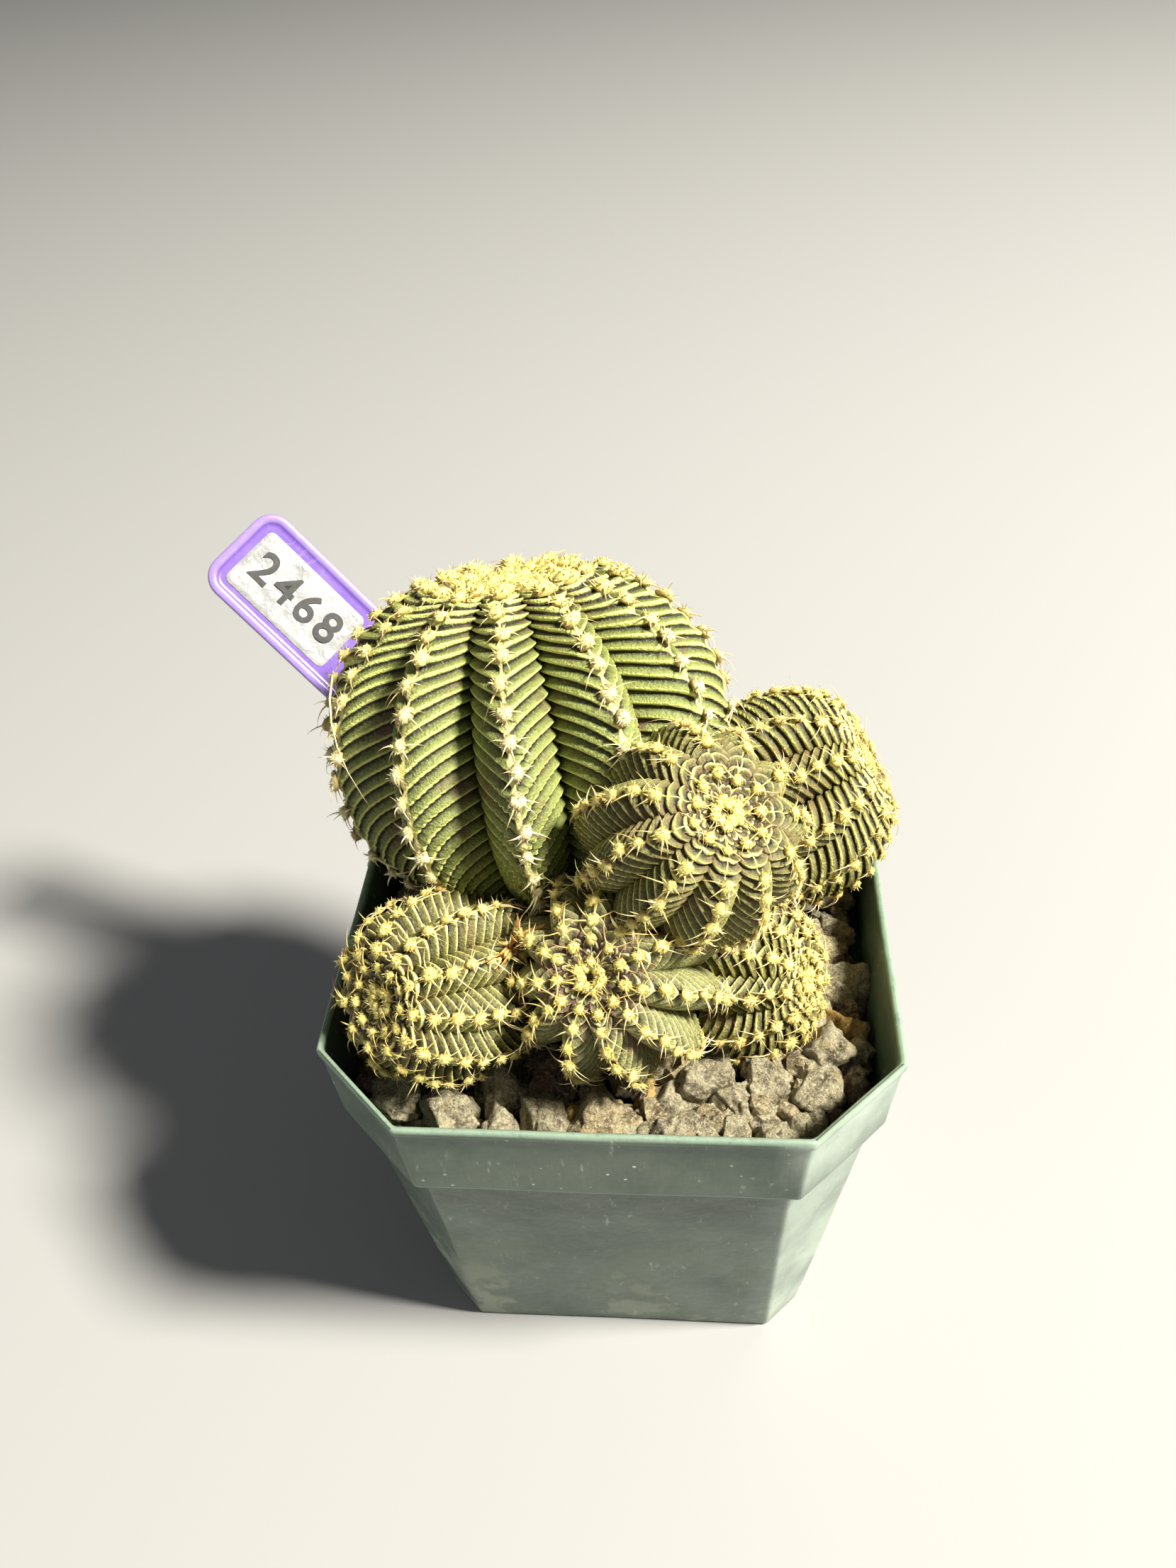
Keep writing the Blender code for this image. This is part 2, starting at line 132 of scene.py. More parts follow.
def tube_faces(rows, cols, closed_ends=True):
    """Quads between rows of points around an axis. Points 0 and last close the two ends."""
    i = np.arange(cols)
    j = (i + 1) % cols
    start = 1 + cols * np.arange(rows - 1)[:, None]
    quads = np.stack([start + i, start + cols + i, start + cols + j, start + j], -1).reshape(-1, 4)
    faces = quads.tolist()
    if closed_ends:
        last = 1 + rows * cols
        faces += np.stack([0 * i, 1 + i, 1 + j], -1).tolist()
        faces += np.stack([0 * i + last, last - cols + j, last - cols + i], -1).tolist()
    return faces


def ball(steps):
    """Points and triangles of a round ball made by splitting an icosahedron."""
    shape = bmesh.new()
    bmesh.ops.create_icosphere(shape, subdivisions=steps, radius=1.0)
    points = np.array([v.co[:] for v in shape.verts])
    faces = np.array([[v.index for v in f.verts] for f in shape.faces])
    shape.free()
    return points, faces


# %% [markdown]
# ## The camera
#
# The object is seen from about forty degrees above its front, a little to the right and slightly tilted.
# A short lens this close makes the pot narrow strongly towards its base, and it is what makes the round
# stem loom over its pot. The camera comes first so that every later piece can be judged through it.

# %% Camera
CAMERA_PLACE = Vector((0.01163, -0.12650, 0.19828))
CAMERA_YAW = math.radians(-6.52)
CAMERA_PITCH = math.radians(40.62)
CAMERA_ROLL = math.radians(-3.91)


def camera_axes(yaw, pitch, roll):
    """Right, up and forward from a heading, a dip below level and a turn about the view."""
    forward = Vector((math.sin(yaw) * math.cos(pitch), math.cos(yaw) * math.cos(pitch), -math.sin(pitch)))
    level = Vector((math.cos(yaw), -math.sin(yaw), 0.0))
    upright = level.cross(forward)
    right = math.cos(roll) * level + math.sin(roll) * upright
    up = -math.sin(roll) * level + math.cos(roll) * upright
    return right, up, forward


view_right, view_up, view_forward = camera_axes(CAMERA_YAW, CAMERA_PITCH, CAMERA_ROLL)
camera = bpy.data.objects.new("camera", bpy.data.cameras.new("camera"))
camera.data.sensor_width = 36.0
camera.data.lens = 29.39
camera.data.clip_start = 0.01
turn = Matrix((view_right, view_up, -view_forward)).transposed().to_4x4()
camera.matrix_world = Matrix.Translation(CAMERA_PLACE) @ turn
bpy.context.scene.collection.objects.link(camera)
bpy.context.scene.camera = camera
print("camera stands", round(CAMERA_PLACE.length / MM), "mm from the middle of the pot's base")


# %% [markdown]
# ## Building blocks for materials
#
# A real surface is never one colour, so each material mixes a few colours by masks. The masks come from
# noise in object space and from the values stored on the points. These small functions keep a node tree
# readable as a list of steps.

# %% Material helpers
class Nodes:
    """A material's node tree, with one short method for each kind of step."""

    def __init__(self, name, **constants):
        self.material = bpy.data.materials.new(name)
        self.material.use_nodes = True
        self.tree = self.material.node_tree
        self.shader = self.tree.nodes["Principled BSDF"]
        self.coords = self.add("ShaderNodeTexCoord").outputs["Object"]
        for socket, value in constants.items():
            self.shader.inputs[socket.replace("_", " ")].default_value = value

    def add(self, kind, **settings):
        node = self.tree.nodes.new(kind)
        for key, value in settings.items():
            setattr(node, key, value)
        return node

    def link(self, value, socket):
        if isinstance(value, bpy.types.NodeSocket):
            self.tree.links.new(value, socket)
        elif isinstance(value, (tuple, list)) and len(value) == 3 and len(socket.default_value) == 4:
            socket.default_value = (*value, 1.0)
        else:
            socket.default_value = value

    def set(self, socket, value):
        self.link(value, self.shader.inputs[socket])

    def value(self, name):
        return self.add("ShaderNodeAttribute", attribute_name=name).outputs["Fac"]

    def math(self, operation, a, b=0.0, c=0.0):
        node = self.add("ShaderNodeMath", operation=operation)
        for value, socket in zip((a, b, c), node.inputs):
            self.link(value, socket)
        return node.outputs[0]

    def ramp(self, x, low, high, to_low=0.0, to_high=1.0):
        node = self.add("ShaderNodeMapRange", interpolation_type="SMOOTHSTEP")
        for value, socket in zip((x, low, high, to_low, to_high), node.inputs):
            self.link(value, socket)
        return node.outputs["Result"]

    def mix(self, factor, a, b, blend="MIX"):
        node = self.add("ShaderNodeMix", data_type="RGBA", blend_type=blend)
        self.link(factor, node.inputs["Factor"])
        self.link(a, node.inputs[6])
        self.link(b, node.inputs[7])
        return node.outputs[2]

    def noise(self, size, detail=3.0, roughness=0.55, stretch=(1.0, 1.0, 1.0), distortion=0.0):
        """Cloudy noise whose blobs are about this size in metres."""
        place = self.add("ShaderNodeMapping")
        self.link(self.coords, place.inputs["Vector"])
        place.inputs["Scale"].default_value = stretch
        node = self.add("ShaderNodeTexNoise")
        self.link(place.outputs[0], node.inputs["Vector"])
        node.inputs["Scale"].default_value = 1.0 / size
        node.inputs["Detail"].default_value = detail
        node.inputs["Roughness"].default_value = roughness
        node.inputs["Distortion"].default_value = distortion
        return node.outputs["Fac"]

    def cells(self, size, feature="F1"):
        """Distance from the nearest of scattered points about this far apart in metres."""
        node = self.add("ShaderNodeTexVoronoi", feature=feature)
        self.link(self.coords, node.inputs["Vector"])
        node.inputs["Scale"].default_value = 1.0 / size
        return node.outputs["Distance"]

    def bump(self, *layers):
        """Stack bumps, each a height from 0 to 1 and its depth in metres."""
        normal = None
        for height, depth in layers:
            node = self.add("ShaderNodeBump")
            node.inputs["Distance"].default_value = depth
            self.link(height, node.inputs["Height"])
            if normal is not None:
                self.link(normal, node.inputs["Normal"])
            normal = node.outputs["Normal"]
        self.set("Normal", normal)
        return self.material


# %% [markdown]
# ## The skin of the stems
#
# The skin is crossed by narrow steps, like shingles lying over each other. Each step swells outwards as it
# comes away from the crown, ends in a rounded lip, and drops back into a groove. The mesh carries the steps
# as real relief, and the material colours them from the same two numbers: `step`, which counts the steps,
# and `side`, which is 0 on a rib's crest and 1 in the valley. The colours also paint light and shade over
# the relief: a painted highlight on each lip, painted shade that darkens each step towards the groove under
# the lip above it, and painted shadow in the grooves and deep in each valley, where hardly any light gets in.

# %% Skin material
def skin_material(name, lip, flank, shadow_and_grain, blush, crest, speck, shade):
    n = Nodes(name)
    n.shader.inputs["Specular IOR Level"].default_value = 0.40
    side = n.value("side")
    down = n.value("down")
    wander = n.noise(0.0016, detail=2.0)
    fine = n.noise(0.00042, detail=3.0, roughness=0.75)
    along = n.math("FRACT", n.value("step"))
    shifted = n.math("ADD", along, n.math("MULTIPLY", n.math("SUBTRACT", wander, 0.5), 0.14))
    # Painted shade: each step is near black at its top, in the groove under the lip above, and brightens to
    # the flank colour up to the share set by shade.
    colour = n.mix(n.ramp(shifted, 0.02, shade), shadow_and_grain, flank)
    colour = n.mix(n.math("MULTIPLY", n.ramp(fine, 0.50, 0.72), 0.38), colour, speck)
    colour = n.mix(n.math("MULTIPLY", n.ramp(fine, 0.50, 0.30), 0.45), colour, shadow_and_grain)
    blotch = n.noise(0.010, detail=3.0)
    young = n.math("MULTIPLY", n.ramp(down, 0.32, 0.12), n.ramp(side, 0.25, 0.8))
    patchy = n.math("MULTIPLY", n.ramp(blotch, 0.52, 0.66), n.ramp(side, 0.1, 0.8))
    blushing = n.math("MAXIMUM", young, patchy)
    colour = n.mix(n.math("MULTIPLY", blushing, 0.80), colour, blush)
    # Painted highlight: the lip of each step is painted pale, less where the skin blushes.
    lip_highlight = n.math("MULTIPLY", n.ramp(shifted, 0.62, 0.80), n.ramp(shifted, 0.97, 0.90))
    colour = n.mix(n.math("MULTIPLY", lip_highlight, n.ramp(blushing, 0.0, 1.0, 0.95, 0.55)), colour, lip)
    # Painted shadow: the bottom of each valley between ribs is darkened.
    colour = n.mix(n.math("MULTIPLY", n.ramp(side, 0.78, 1.0), 0.70), colour, shadow_and_grain)
    colour = n.mix(n.math("MULTIPLY", n.ramp(down, 0.70, 0.95), 0.55), colour, (0.12, 0.09, 0.04))
    # Painted shadow: the groove at the top of each step and the drop just past its lip are darkened again.
    groove_shadow = n.math("MAXIMUM", n.ramp(shifted, 0.22, 0.04), n.ramp(shifted, 0.90, 0.98))
    colour = n.mix(n.math("MULTIPLY", groove_shadow, 0.88), colour, shadow_and_grain)
    colour = n.mix(n.math("MULTIPLY", n.ramp(side, 0.060, 0.020), 0.90), colour, crest)
    n.set("Base Color", colour)
    n.set("Roughness", n.ramp(fine, 0.3, 0.7, 0.70, 0.38))
    return n.bump((n.cells(0.00034), 0.00010), (fine, 0.00016))


# In each skin the lip colour is a painted highlight, and the near-black colour is painted shade in the
# grooves and valleys, also used for dark grain.
skin_main = skin_material(
    "skin_main",
    lip=(0.74, 0.76, 0.24),
    flank=(0.240, 0.280, 0.072),
    shadow_and_grain=(0.016, 0.013, 0.005),
    blush=(0.130, 0.055, 0.048),
    crest=(0.76, 0.68, 0.28),
    speck=(0.43, 0.45, 0.22),
    shade=0.62,
)
skin_offset = skin_material(
    "skin_offset",
    lip=(0.86, 0.83, 0.29),
    flank=(0.260, 0.245, 0.072),
    shadow_and_grain=(0.010, 0.008, 0.004),
    blush=(0.190, 0.135, 0.062),
    crest=(0.76, 0.62, 0.20),
    speck=(0.36, 0.35, 0.18),
    shade=0.86,
)
skin_front = skin_material(
    "skin_front",
    lip=(0.66, 0.64, 0.32),
    flank=(0.250, 0.255, 0.090),
    shadow_and_grain=(0.030, 0.024, 0.010),
    blush=(0.170, 0.085, 0.070),
    crest=(0.78, 0.66, 0.24),
    speck=(0.42, 0.42, 0.25),
    shade=0.66,
)
SKINS = {"stem_main": skin_main, "offset_front": skin_front}

# %% [markdown]
# ## The shape of a stem
#
# A stem is a flattened ball whose axis leans. Going round it, the radius falls from each crest to a narrow
# valley. Going down it, the steps raise the surface along its own normal, rising slowly and falling
# quickly, as sin(pi x^2) does. The step count also depends on the distance from the crest, so the steps run
# slantwise and meet in the valleys like the bones of a herring. At each cushion the crest swells a little.

# %% Stem shape
ORIGIN_TO_SOIL = float(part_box("soil_fill")[1].z)

STEMS = {
    "stem_main": dict(
        place=(-0.0124, 0.0148, 0.0344), radius=0.0283, height=0.0232, lean=20.0, compass=107.0, first=78.0,
        ribs=12, boxy=0.85, depth=0.33, steps=36, slant=7.0, relief=0.78 * MM, columns=24, rows=330,
    ),
    "offset_centre": dict(
        place=(0.0103, -0.0090, 0.0359), radius=0.0141, height=0.0132, lean=36.8, compass=-50.2, first=138.1,
        ribs=11, boxy=0.72, depth=0.27, steps=26, slant=5.2, relief=0.66 * MM, columns=16, rows=200,
    ),
    "offset_right": dict(
        place=(0.0243, 0.0150, 0.0221), radius=0.0155, height=0.0142, lean=60.0, compass=5.0, first=99.1,
        ribs=11, boxy=0.80, depth=0.26, steps=27, slant=5.2, relief=0.66 * MM, columns=16, rows=200,
    ),
    "offset_lower_right": dict(
        place=(0.0179, -0.0095, 0.0107), radius=0.0111, height=0.0102, lean=70.3, compass=-20.9, first=117.9,
        ribs=11, boxy=0.79, depth=0.26, steps=21, slant=4.6, relief=0.62 * MM, columns=16, rows=180,
    ),
    "offset_left": dict(
        place=(-0.0207, -0.0174, 0.0174), radius=0.0123, height=0.0136, lean=60.5, compass=229.5, first=114.0,
        ribs=11, boxy=0.68, depth=0.27, steps=25, slant=4.6, relief=0.64 * MM, columns=16, rows=200,
    ),
    "offset_front": dict(
        place=(0.0014, -0.0174, 0.0200), radius=0.0139, height=0.0128, lean=45.0, compass=251.1, first=69.0,
        ribs=11, boxy=0.80, depth=0.42, steps=24, slant=4.8, relief=0.46 * MM, columns=16, rows=190,
    ),
}


CUSHION_PITCH = 1.6


def stem_frame(stem):
    """Centre, axis and two directions square to the axis."""
    lean, compass = math.radians(stem["lean"]), math.radians(stem["compass"])
    flat = math.sin(lean)
    axis = np.array([flat * math.cos(compass), flat * math.sin(compass), math.cos(lean)])
    first = unit(np.cross([0.0, 0.0, 1.0], axis))
    centre = np.array(stem["place"]) + [0.0, 0.0, ORIGIN_TO_SOIL]
    return centre, axis, first, np.cross(axis, first)


def profile(stem, t):
    """Crest radius and height at angle t from the crown: R sin(t)^boxy and H cos(t), dimpled at the top."""
    dimple = 1 - 0.13 * np.clip(np.cos(t), 0, 1) ** 24
    return stem["radius"] * np.sin(t) ** stem["boxy"], stem["height"] * np.cos(t) * dimple


def distance_down(stem, t):
    """Share of the way from crown to base along the profile, by summing short lengths."""
    fine = np.linspace(0, math.pi, 800)
    across, up = profile(stem, fine)
    length = np.concatenate([[0], np.cumsum(np.hypot(np.diff(across), np.diff(up)))])
    return np.interp(t, fine, length / length[-1])


def angle_at(stem, down):
    """The angle from the crown that lies a given share of the way down."""
    fine = np.linspace(0, math.pi, 800)
    return np.interp(down, distance_down(stem, fine), fine)


def valley_shape(side):
    """0 on the crest and 1 in the valley, rounded at first and steepest at the bottom."""
    return 0.62 * side + 0.38 * side ** 3


def step_count(stem, down, rib, side):
    """Steps crossed so far. They climb towards the valley further down, and each flank is a little ahead
    of or behind its neighbours."""
    climb = stem["slant"] * (1.25 * down - 0.28)
    crest = np.round(rib).astype(int)
    ahead = np.random.default_rng(3).uniform(-0.6, 0.6, (stem["ribs"], 2))
    shift = ahead[crest % stem["ribs"], (rib > crest).astype(int)]
    return stem["steps"] * down ** 0.94 + climb * (1 - (1 - side) ** 2) + shift * side


def stem_surface(stem, t, rib):
    """Points of the ribbed ball before its steps. rib counts ribs around the axis."""
    centre, axis, first, second = stem_frame(stem)
    side = np.abs((rib + 0.5) % 1.0 - 0.5) * 2
    across, up = profile(stem, t)
    strength = np.clip(0.40 + 0.9 * np.sin(t), 0, 1) * smooth_step(math.pi, 2.4, t)
    reach = across * (1 - stem["depth"] * strength * valley_shape(side))
    angle = math.radians(stem["first"]) + 2 * math.pi * rib / stem["ribs"]
    ring = np.cos(angle)[..., None] * first + np.sin(angle)[..., None] * second
    return centre + reach[..., None] * ring + up[..., None] * axis, side


def outward(grid, centre):
    """Unit normals of a grid that wraps around, from the differences between neighbouring points."""
    down = np.gradient(grid, axis=0)
    around = np.roll(grid, -1, axis=1) - np.roll(grid, 1, axis=1)
    normal = unit(np.cross(down, around))
    facing = np.sign(np.sum(normal * (grid - centre), axis=-1, keepdims=True))
    return normal * np.where(facing == 0, 1, facing)


def with_ends(field, first, last):
    """A grid's values in one row, between the values of its two end points."""
    return np.concatenate([[first], field.ravel(), [last]])


def build_stem(name, material):
    stem = STEMS[name]
    centre, axis, _, _ = stem_frame(stem)
    columns = stem["ribs"] * stem["columns"]
    down = np.linspace(0, 1, stem["rows"] + 2)[1:-1, None]
    rib = np.arange(columns)[None, :] / stem["columns"]
    t = angle_at(stem, down) + 0 * rib
    rib = rib + 0 * t
    grid, side = stem_surface(stem, t, rib)
    step = step_count(stem, down, rib, side) + 0.16 * lattice_noise(grid, 6 * MM, 11)
    along = step % 1.0
    shingle = np.sin(math.pi * along ** 2.3)
    fade = smooth_step(0.0, 0.14, side) * smooth_step(1.0, 0.92, side) * smooth_step(0.03, 0.17, down)
    chin = np.cos(2 * math.pi * (step - 1) / CUSHION_PITCH) * np.exp(-((side / 0.25) ** 2))
    chin = chin * smooth_step(0.06, 0.14, down)
    raised = stem["relief"] * (shingle * fade + 0.40 * chin) + 0.18 * MM * (side < 0.01)
    raised = raised + 0.25 * MM * lattice_noise(grid, 7 * MM, 5)
    grid = grid + raised[..., None] * outward(grid, centre)
    top = centre + profile(stem, 0.0)[1] * axis
    bottom = centre - stem["height"] * axis
    points = np.concatenate([[top], grid.reshape(-1, 3), [bottom]])
    faces = tube_faces(stem["rows"], columns)
    piece = make_piece(
        f"{name}_skin", points, faces, material, "stem_skin", [name],
        side=with_ends(side, 0, 0), down=with_ends(down + 0 * side, 0, 1),
        step=with_ends(step, 0, stem["steps"]),
    )
    gap = np.linalg.norm(node_points(name) - centre, axis=1).max()
    made = np.linalg.norm(points - centre, axis=1).max()
    print(f"{name}: {len(faces)} faces, reaches {made / MM:.1f} mm; its CAD node reaches {gap / MM:.1f} mm")
    return piece


for stem_name in STEMS:
    build_stem(stem_name, SKINS.get(stem_name, skin_offset))

# %% [markdown]
# ## Where the wool and spines grow
#
# Along each crest sits a row of woolly cushions, about one and a half steps apart, and each one carries a
# few spines. One function finds every cushion's place and its three directions: out of the skin, down the
# rib, and sideways. A cushion that would lie inside a neighbouring stem is dropped.

# %% Cushion places
def inside_others(name, points, scale=0.95):
    """True for points inside another stem's ellipsoid."""
    inside = np.zeros(len(points), bool)
    for other, stem in STEMS.items():
        if other == name:
            continue
        centre, axis, _, _ = stem_frame(stem)
        away = points - centre
        up = away @ axis
        flat = np.sum(away ** 2, axis=1) - up ** 2
        inside |= (up / stem["height"]) ** 2 + flat / stem["radius"] ** 2 < scale ** 2
    return inside


def cushion_spots(stem):
    """Shares of the way down one crest: crowded on the crown, then CUSHION_PITCH steps apart."""
    crown = np.linspace(0.030, 0.122, 3) if stem["ribs"] == 12 else np.array([0.030, 0.100])
    steps = np.arange(1, stem["steps"], CUSHION_PITCH)
    regular = (steps / stem["steps"]) ** (1 / 0.94)
    return np.concatenate([crown, regular[regular > 0.145]])


def cushion_places(name):
    """Places on the crests with their out, down and side directions, and the share of the way down."""
    stem = STEMS[name]
    centre, _, _, _ = stem_frame(stem)
    spots = cushion_spots(stem)
    rib = np.repeat(np.arange(stem["ribs"]), len(spots)) + 0.0
    down = np.tile(spots, stem["ribs"])
    rng = np.random.default_rng(len(name))
    down = down + rng.normal(0, 0.0022, len(down)) + 0.010 * (rib % 2) * (down < 0.13)
    rib = rib + rng.normal(0, 0.012, len(rib)) * (down > 0.05)
    t = angle_at(stem, down)
    place, _ = stem_surface(stem, t, rib)
    further, _ = stem_surface(stem, t + 0.02, rib)
    beside, _ = stem_surface(stem, t, rib + 0.02)
    other, _ = stem_surface(stem, t, rib - 0.02)
    along = unit(further - place)
    across = unit(beside - other)
    out = unit(np.cross(along, across))
    out = out * np.sign(np.sum(out * (place - centre), axis=1, keepdims=True))
    keep = ~inside_others(name, place) & (place[:, 2] > ORIGIN_TO_SOIL + 1 * MM)
    return place[keep], out[keep], along[keep], np.cross(out, along)[keep], down[keep]


# %% [markdown]
# ## Wool
#
# A woolly cushion is a soft mound with fine hairs standing out of it. The mound gives the colour and the
# shade, and the hairs break up its outline, which is what makes it read as wool and not as a bead. All the
# cushions of one stem are one mesh: a mound and a bundle of hairs are made once and copied to every place
# by array arithmetic.

# %% Wool
def wool_material(name, young, old):
    n = Nodes(name, Roughness=0.95)
    n.shader.inputs["Subsurface Weight"].default_value = 0.25
    n.shader.inputs["Subsurface Radius"].default_value = (0.0012, 0.0008, 0.0004)
    n.shader.inputs["Subsurface Scale"].default_value = 1.0
    down = n.value("down")
    tip = n.value("tip")
    tangle = n.noise(0.0004, detail=4.0, roughness=0.7)
    colour = n.mix(n.ramp(down, 0.08, 0.55), young, old)
    colour = n.mix(n.ramp(tip, 0.15, 0.8), n.mix(0.55, colour, (0.30, 0.17, 0.05)), colour)
    # Painted highlight: pale streaks on the hairs, strongest towards their tips.
    hair_highlight = n.math("MULTIPLY", n.ramp(tangle, 0.42, 0.66), n.ramp(tip, 0.2, 0.9, 0.1, 0.6))
    colour = n.mix(hair_highlight, colour, (0.95, 0.88, 0.52))
    n.set("Base Color", colour)
    return n.bump((tangle, 0.00020))


wool_yellow = wool_material("wool", young=(0.84, 0.70, 0.18), old=(0.80, 0.70, 0.38))
wool_offset = wool_material("wool_offset", young=(0.80, 0.66, 0.16), old=(0.78, 0.62, 0.18))

HAIRS = 46
DOME_RINGS = 3
DOME_SIDES = 8


def dome(rng):
    """A low uneven dome of rings at heights sin(a), closed under its rim."""
    a = np.linspace(0, math.radians(62), DOME_RINGS)[::-1]
    turn = 2 * math.pi * np.arange(DOME_SIDES) / DOME_SIDES
    ring = np.stack([np.cos(turn), np.sin(turn)], -1)
    flat = np.cos(a)[:, None, None] * ring
    rings = np.concatenate([flat, np.broadcast_to(np.sin(a)[:, None, None], flat.shape[:2] + (1,))], -1)
    points = np.concatenate([[[0, 0, 1.0]], rings.reshape(-1, 3), [[0, 0, -0.3]]])
    points = points * (1 + 0.13 * rng.normal(size=(len(points), 1)))
    quads, caps = split_faces(tube_faces(DOME_RINGS, DOME_SIDES))
    halves = np.concatenate([quads[:, [0, 1, 2]], quads[:, [0, 2, 3]]])
    return points * [0.96, 0.96, 0.76], np.concatenate([halves, caps])


def split_faces(faces):
    """The quads and the triangles of a face list, as two arrays."""
    return np.array([f for f in faces if len(f) == 4]), np.array([f for f in faces if len(f) == 3])


def cushion_pattern(rng):
    """One cushion of unit size: a squashed uneven mound, then hairs, each a thin leaning triangle."""
    mound, mound_faces = dome(rng)
    flat = rng.normal(size=(HAIRS, 2))
    lean = unit(np.column_stack([flat, rng.uniform(0.1, 1.6, HAIRS)]))
    root = lean * [0.74, 0.74, 0.55]
    tip = root + (lean + 0.30 * rng.normal(size=(HAIRS, 3))) * rng.uniform(0.25, 0.66, (HAIRS, 1))
    width = unit(np.cross(lean, rng.normal(size=(HAIRS, 3)))) * 0.10
    hairs = np.stack([root - width, root + width, tip], axis=1).reshape(-1, 3)
    faces = np.concatenate([mound_faces, len(mound) + np.arange(3 * HAIRS).reshape(-1, 3)])
    height = np.concatenate([np.clip(mound[:, 2] / 0.72, 0, 1), np.tile([0.35, 0.35, 1.0], HAIRS)])
    return np.concatenate([mound, hairs]), faces, height


def build_wool(name, size, material):
    """Cushions on every crest: pattern x size, turned to each place's side, down and out directions."""
    place, out, along, across, down = cushion_places(name)
    rng = np.random.default_rng(7)
    points, faces, tips, downs, total = [], [], [], [], 0
    young = 1.50 if name == "stem_main" else 0.85
    for kind in range(3):
        pattern, pattern_faces, height = cushion_pattern(rng)
        mine = np.arange(len(place)) % 3 == kind
        age = np.interp(down[mine], [0, 0.12, 0.2, 0.6, 1], [young, young, 1.02, 0.85, 0.65])
        scale = size * rng.uniform(0.85, 1.15, mine.sum()) * age
        shape = pattern[None] * scale[:, None, None]
        moved = (
            place[mine][:, None]
            + shape[..., 0:1] * across[mine][:, None]
            + shape[..., 1:2] * along[mine][:, None]
            + (shape[..., 2:3] + 0.40 * MM) * out[mine][:, None]
        )
        base = total + len(pattern) * np.arange(mine.sum())[:, None, None]
        points.append(moved.reshape(-1, 3))
        faces.append((base + pattern_faces[None]).reshape(-1, 3))
        tips.append(np.tile(height, mine.sum()))
        downs.append(np.repeat(down[mine], len(pattern)))
        total += moved.shape[0] * moved.shape[1]
    make_piece(
        f"{name}_wool", np.concatenate(points), np.concatenate(faces), material, "stem_skin",
        tip=np.concatenate(tips), down=np.concatenate(downs),
    )
    print(f"{name}: {len(place)} woolly cushions")


for stem_name in STEMS:
    is_main = stem_name == "stem_main"
    build_wool(stem_name, 1.25 * MM if is_main else 1.00 * MM, wool_yellow if is_main else wool_offset)

# %% [markdown]
# ## Spines
#
# The spines are short, and they curve back towards the plant like claws: two to each side of a cushion
# and one pointing down the rib, with one missing here and there. Each is a thin cone whose middle line is
# a parabola, so a single formula over the arrays makes them all. They are straw yellow with browner tips,
# and more golden near the crown.

# %% Spines
SPINE_RINGS = 6
SPINE_SIDES = 4
SPINE_FANS = np.radians([-112, -72, 0, 72, 112])


def spine_material():
    n = Nodes("spines", Roughness=0.42)
    n.shader.inputs["Subsurface Weight"].default_value = 0.15
    n.shader.inputs["Subsurface Radius"].default_value = (0.0008, 0.0005, 0.0002)
    n.shader.inputs["Subsurface Scale"].default_value = 1.0
    tip = n.value("tip")
    down = n.value("down")
    body = n.mix(n.ramp(down, 0.05, 0.60), (0.82, 0.60, 0.18), (0.88, 0.76, 0.44))
    colour = n.mix(n.ramp(tip, 0.60, 1.0), body, (0.46, 0.20, 0.07))
    colour = n.mix(n.math("MULTIPLY", n.ramp(n.noise(0.004), 0.52, 0.7), 0.5), colour, (0.86, 0.78, 0.52))
    n.set("Base Color", colour)
    return n.bump((n.noise(0.0003), 0.00003))


spine_straw = spine_material()


def spine_points(root, heading, curl, length, width):
    """Rings along root + L(x heading + x^2 curl), with radius width (1 - x)^0.7, and a point at each end."""
    x = np.linspace(0, 0.94, SPINE_RINGS)
    middle = root[:, None] + length[:, None, None] * (
        x[None, :, None] * heading[:, None] + (x ** 2)[None, :, None] * curl[:, None]
    )
    first = unit(np.cross(heading, curl))
    second = unit(np.cross(heading, first))
    turn = 2 * math.pi * np.arange(SPINE_SIDES) / SPINE_SIDES
    ring = np.cos(turn)[:, None] * first[:, None] + np.sin(turn)[:, None] * second[:, None]
    radius = width[:, None] * (1 - x[None]) ** 0.7
    rings = middle[:, :, None] + radius[:, :, None, None] * ring[:, None]
    tip = root + length[:, None] * (heading + curl)
    count = len(root)
    return np.concatenate([root[:, None], rings.reshape(count, -1, 3), tip[:, None]], axis=1)


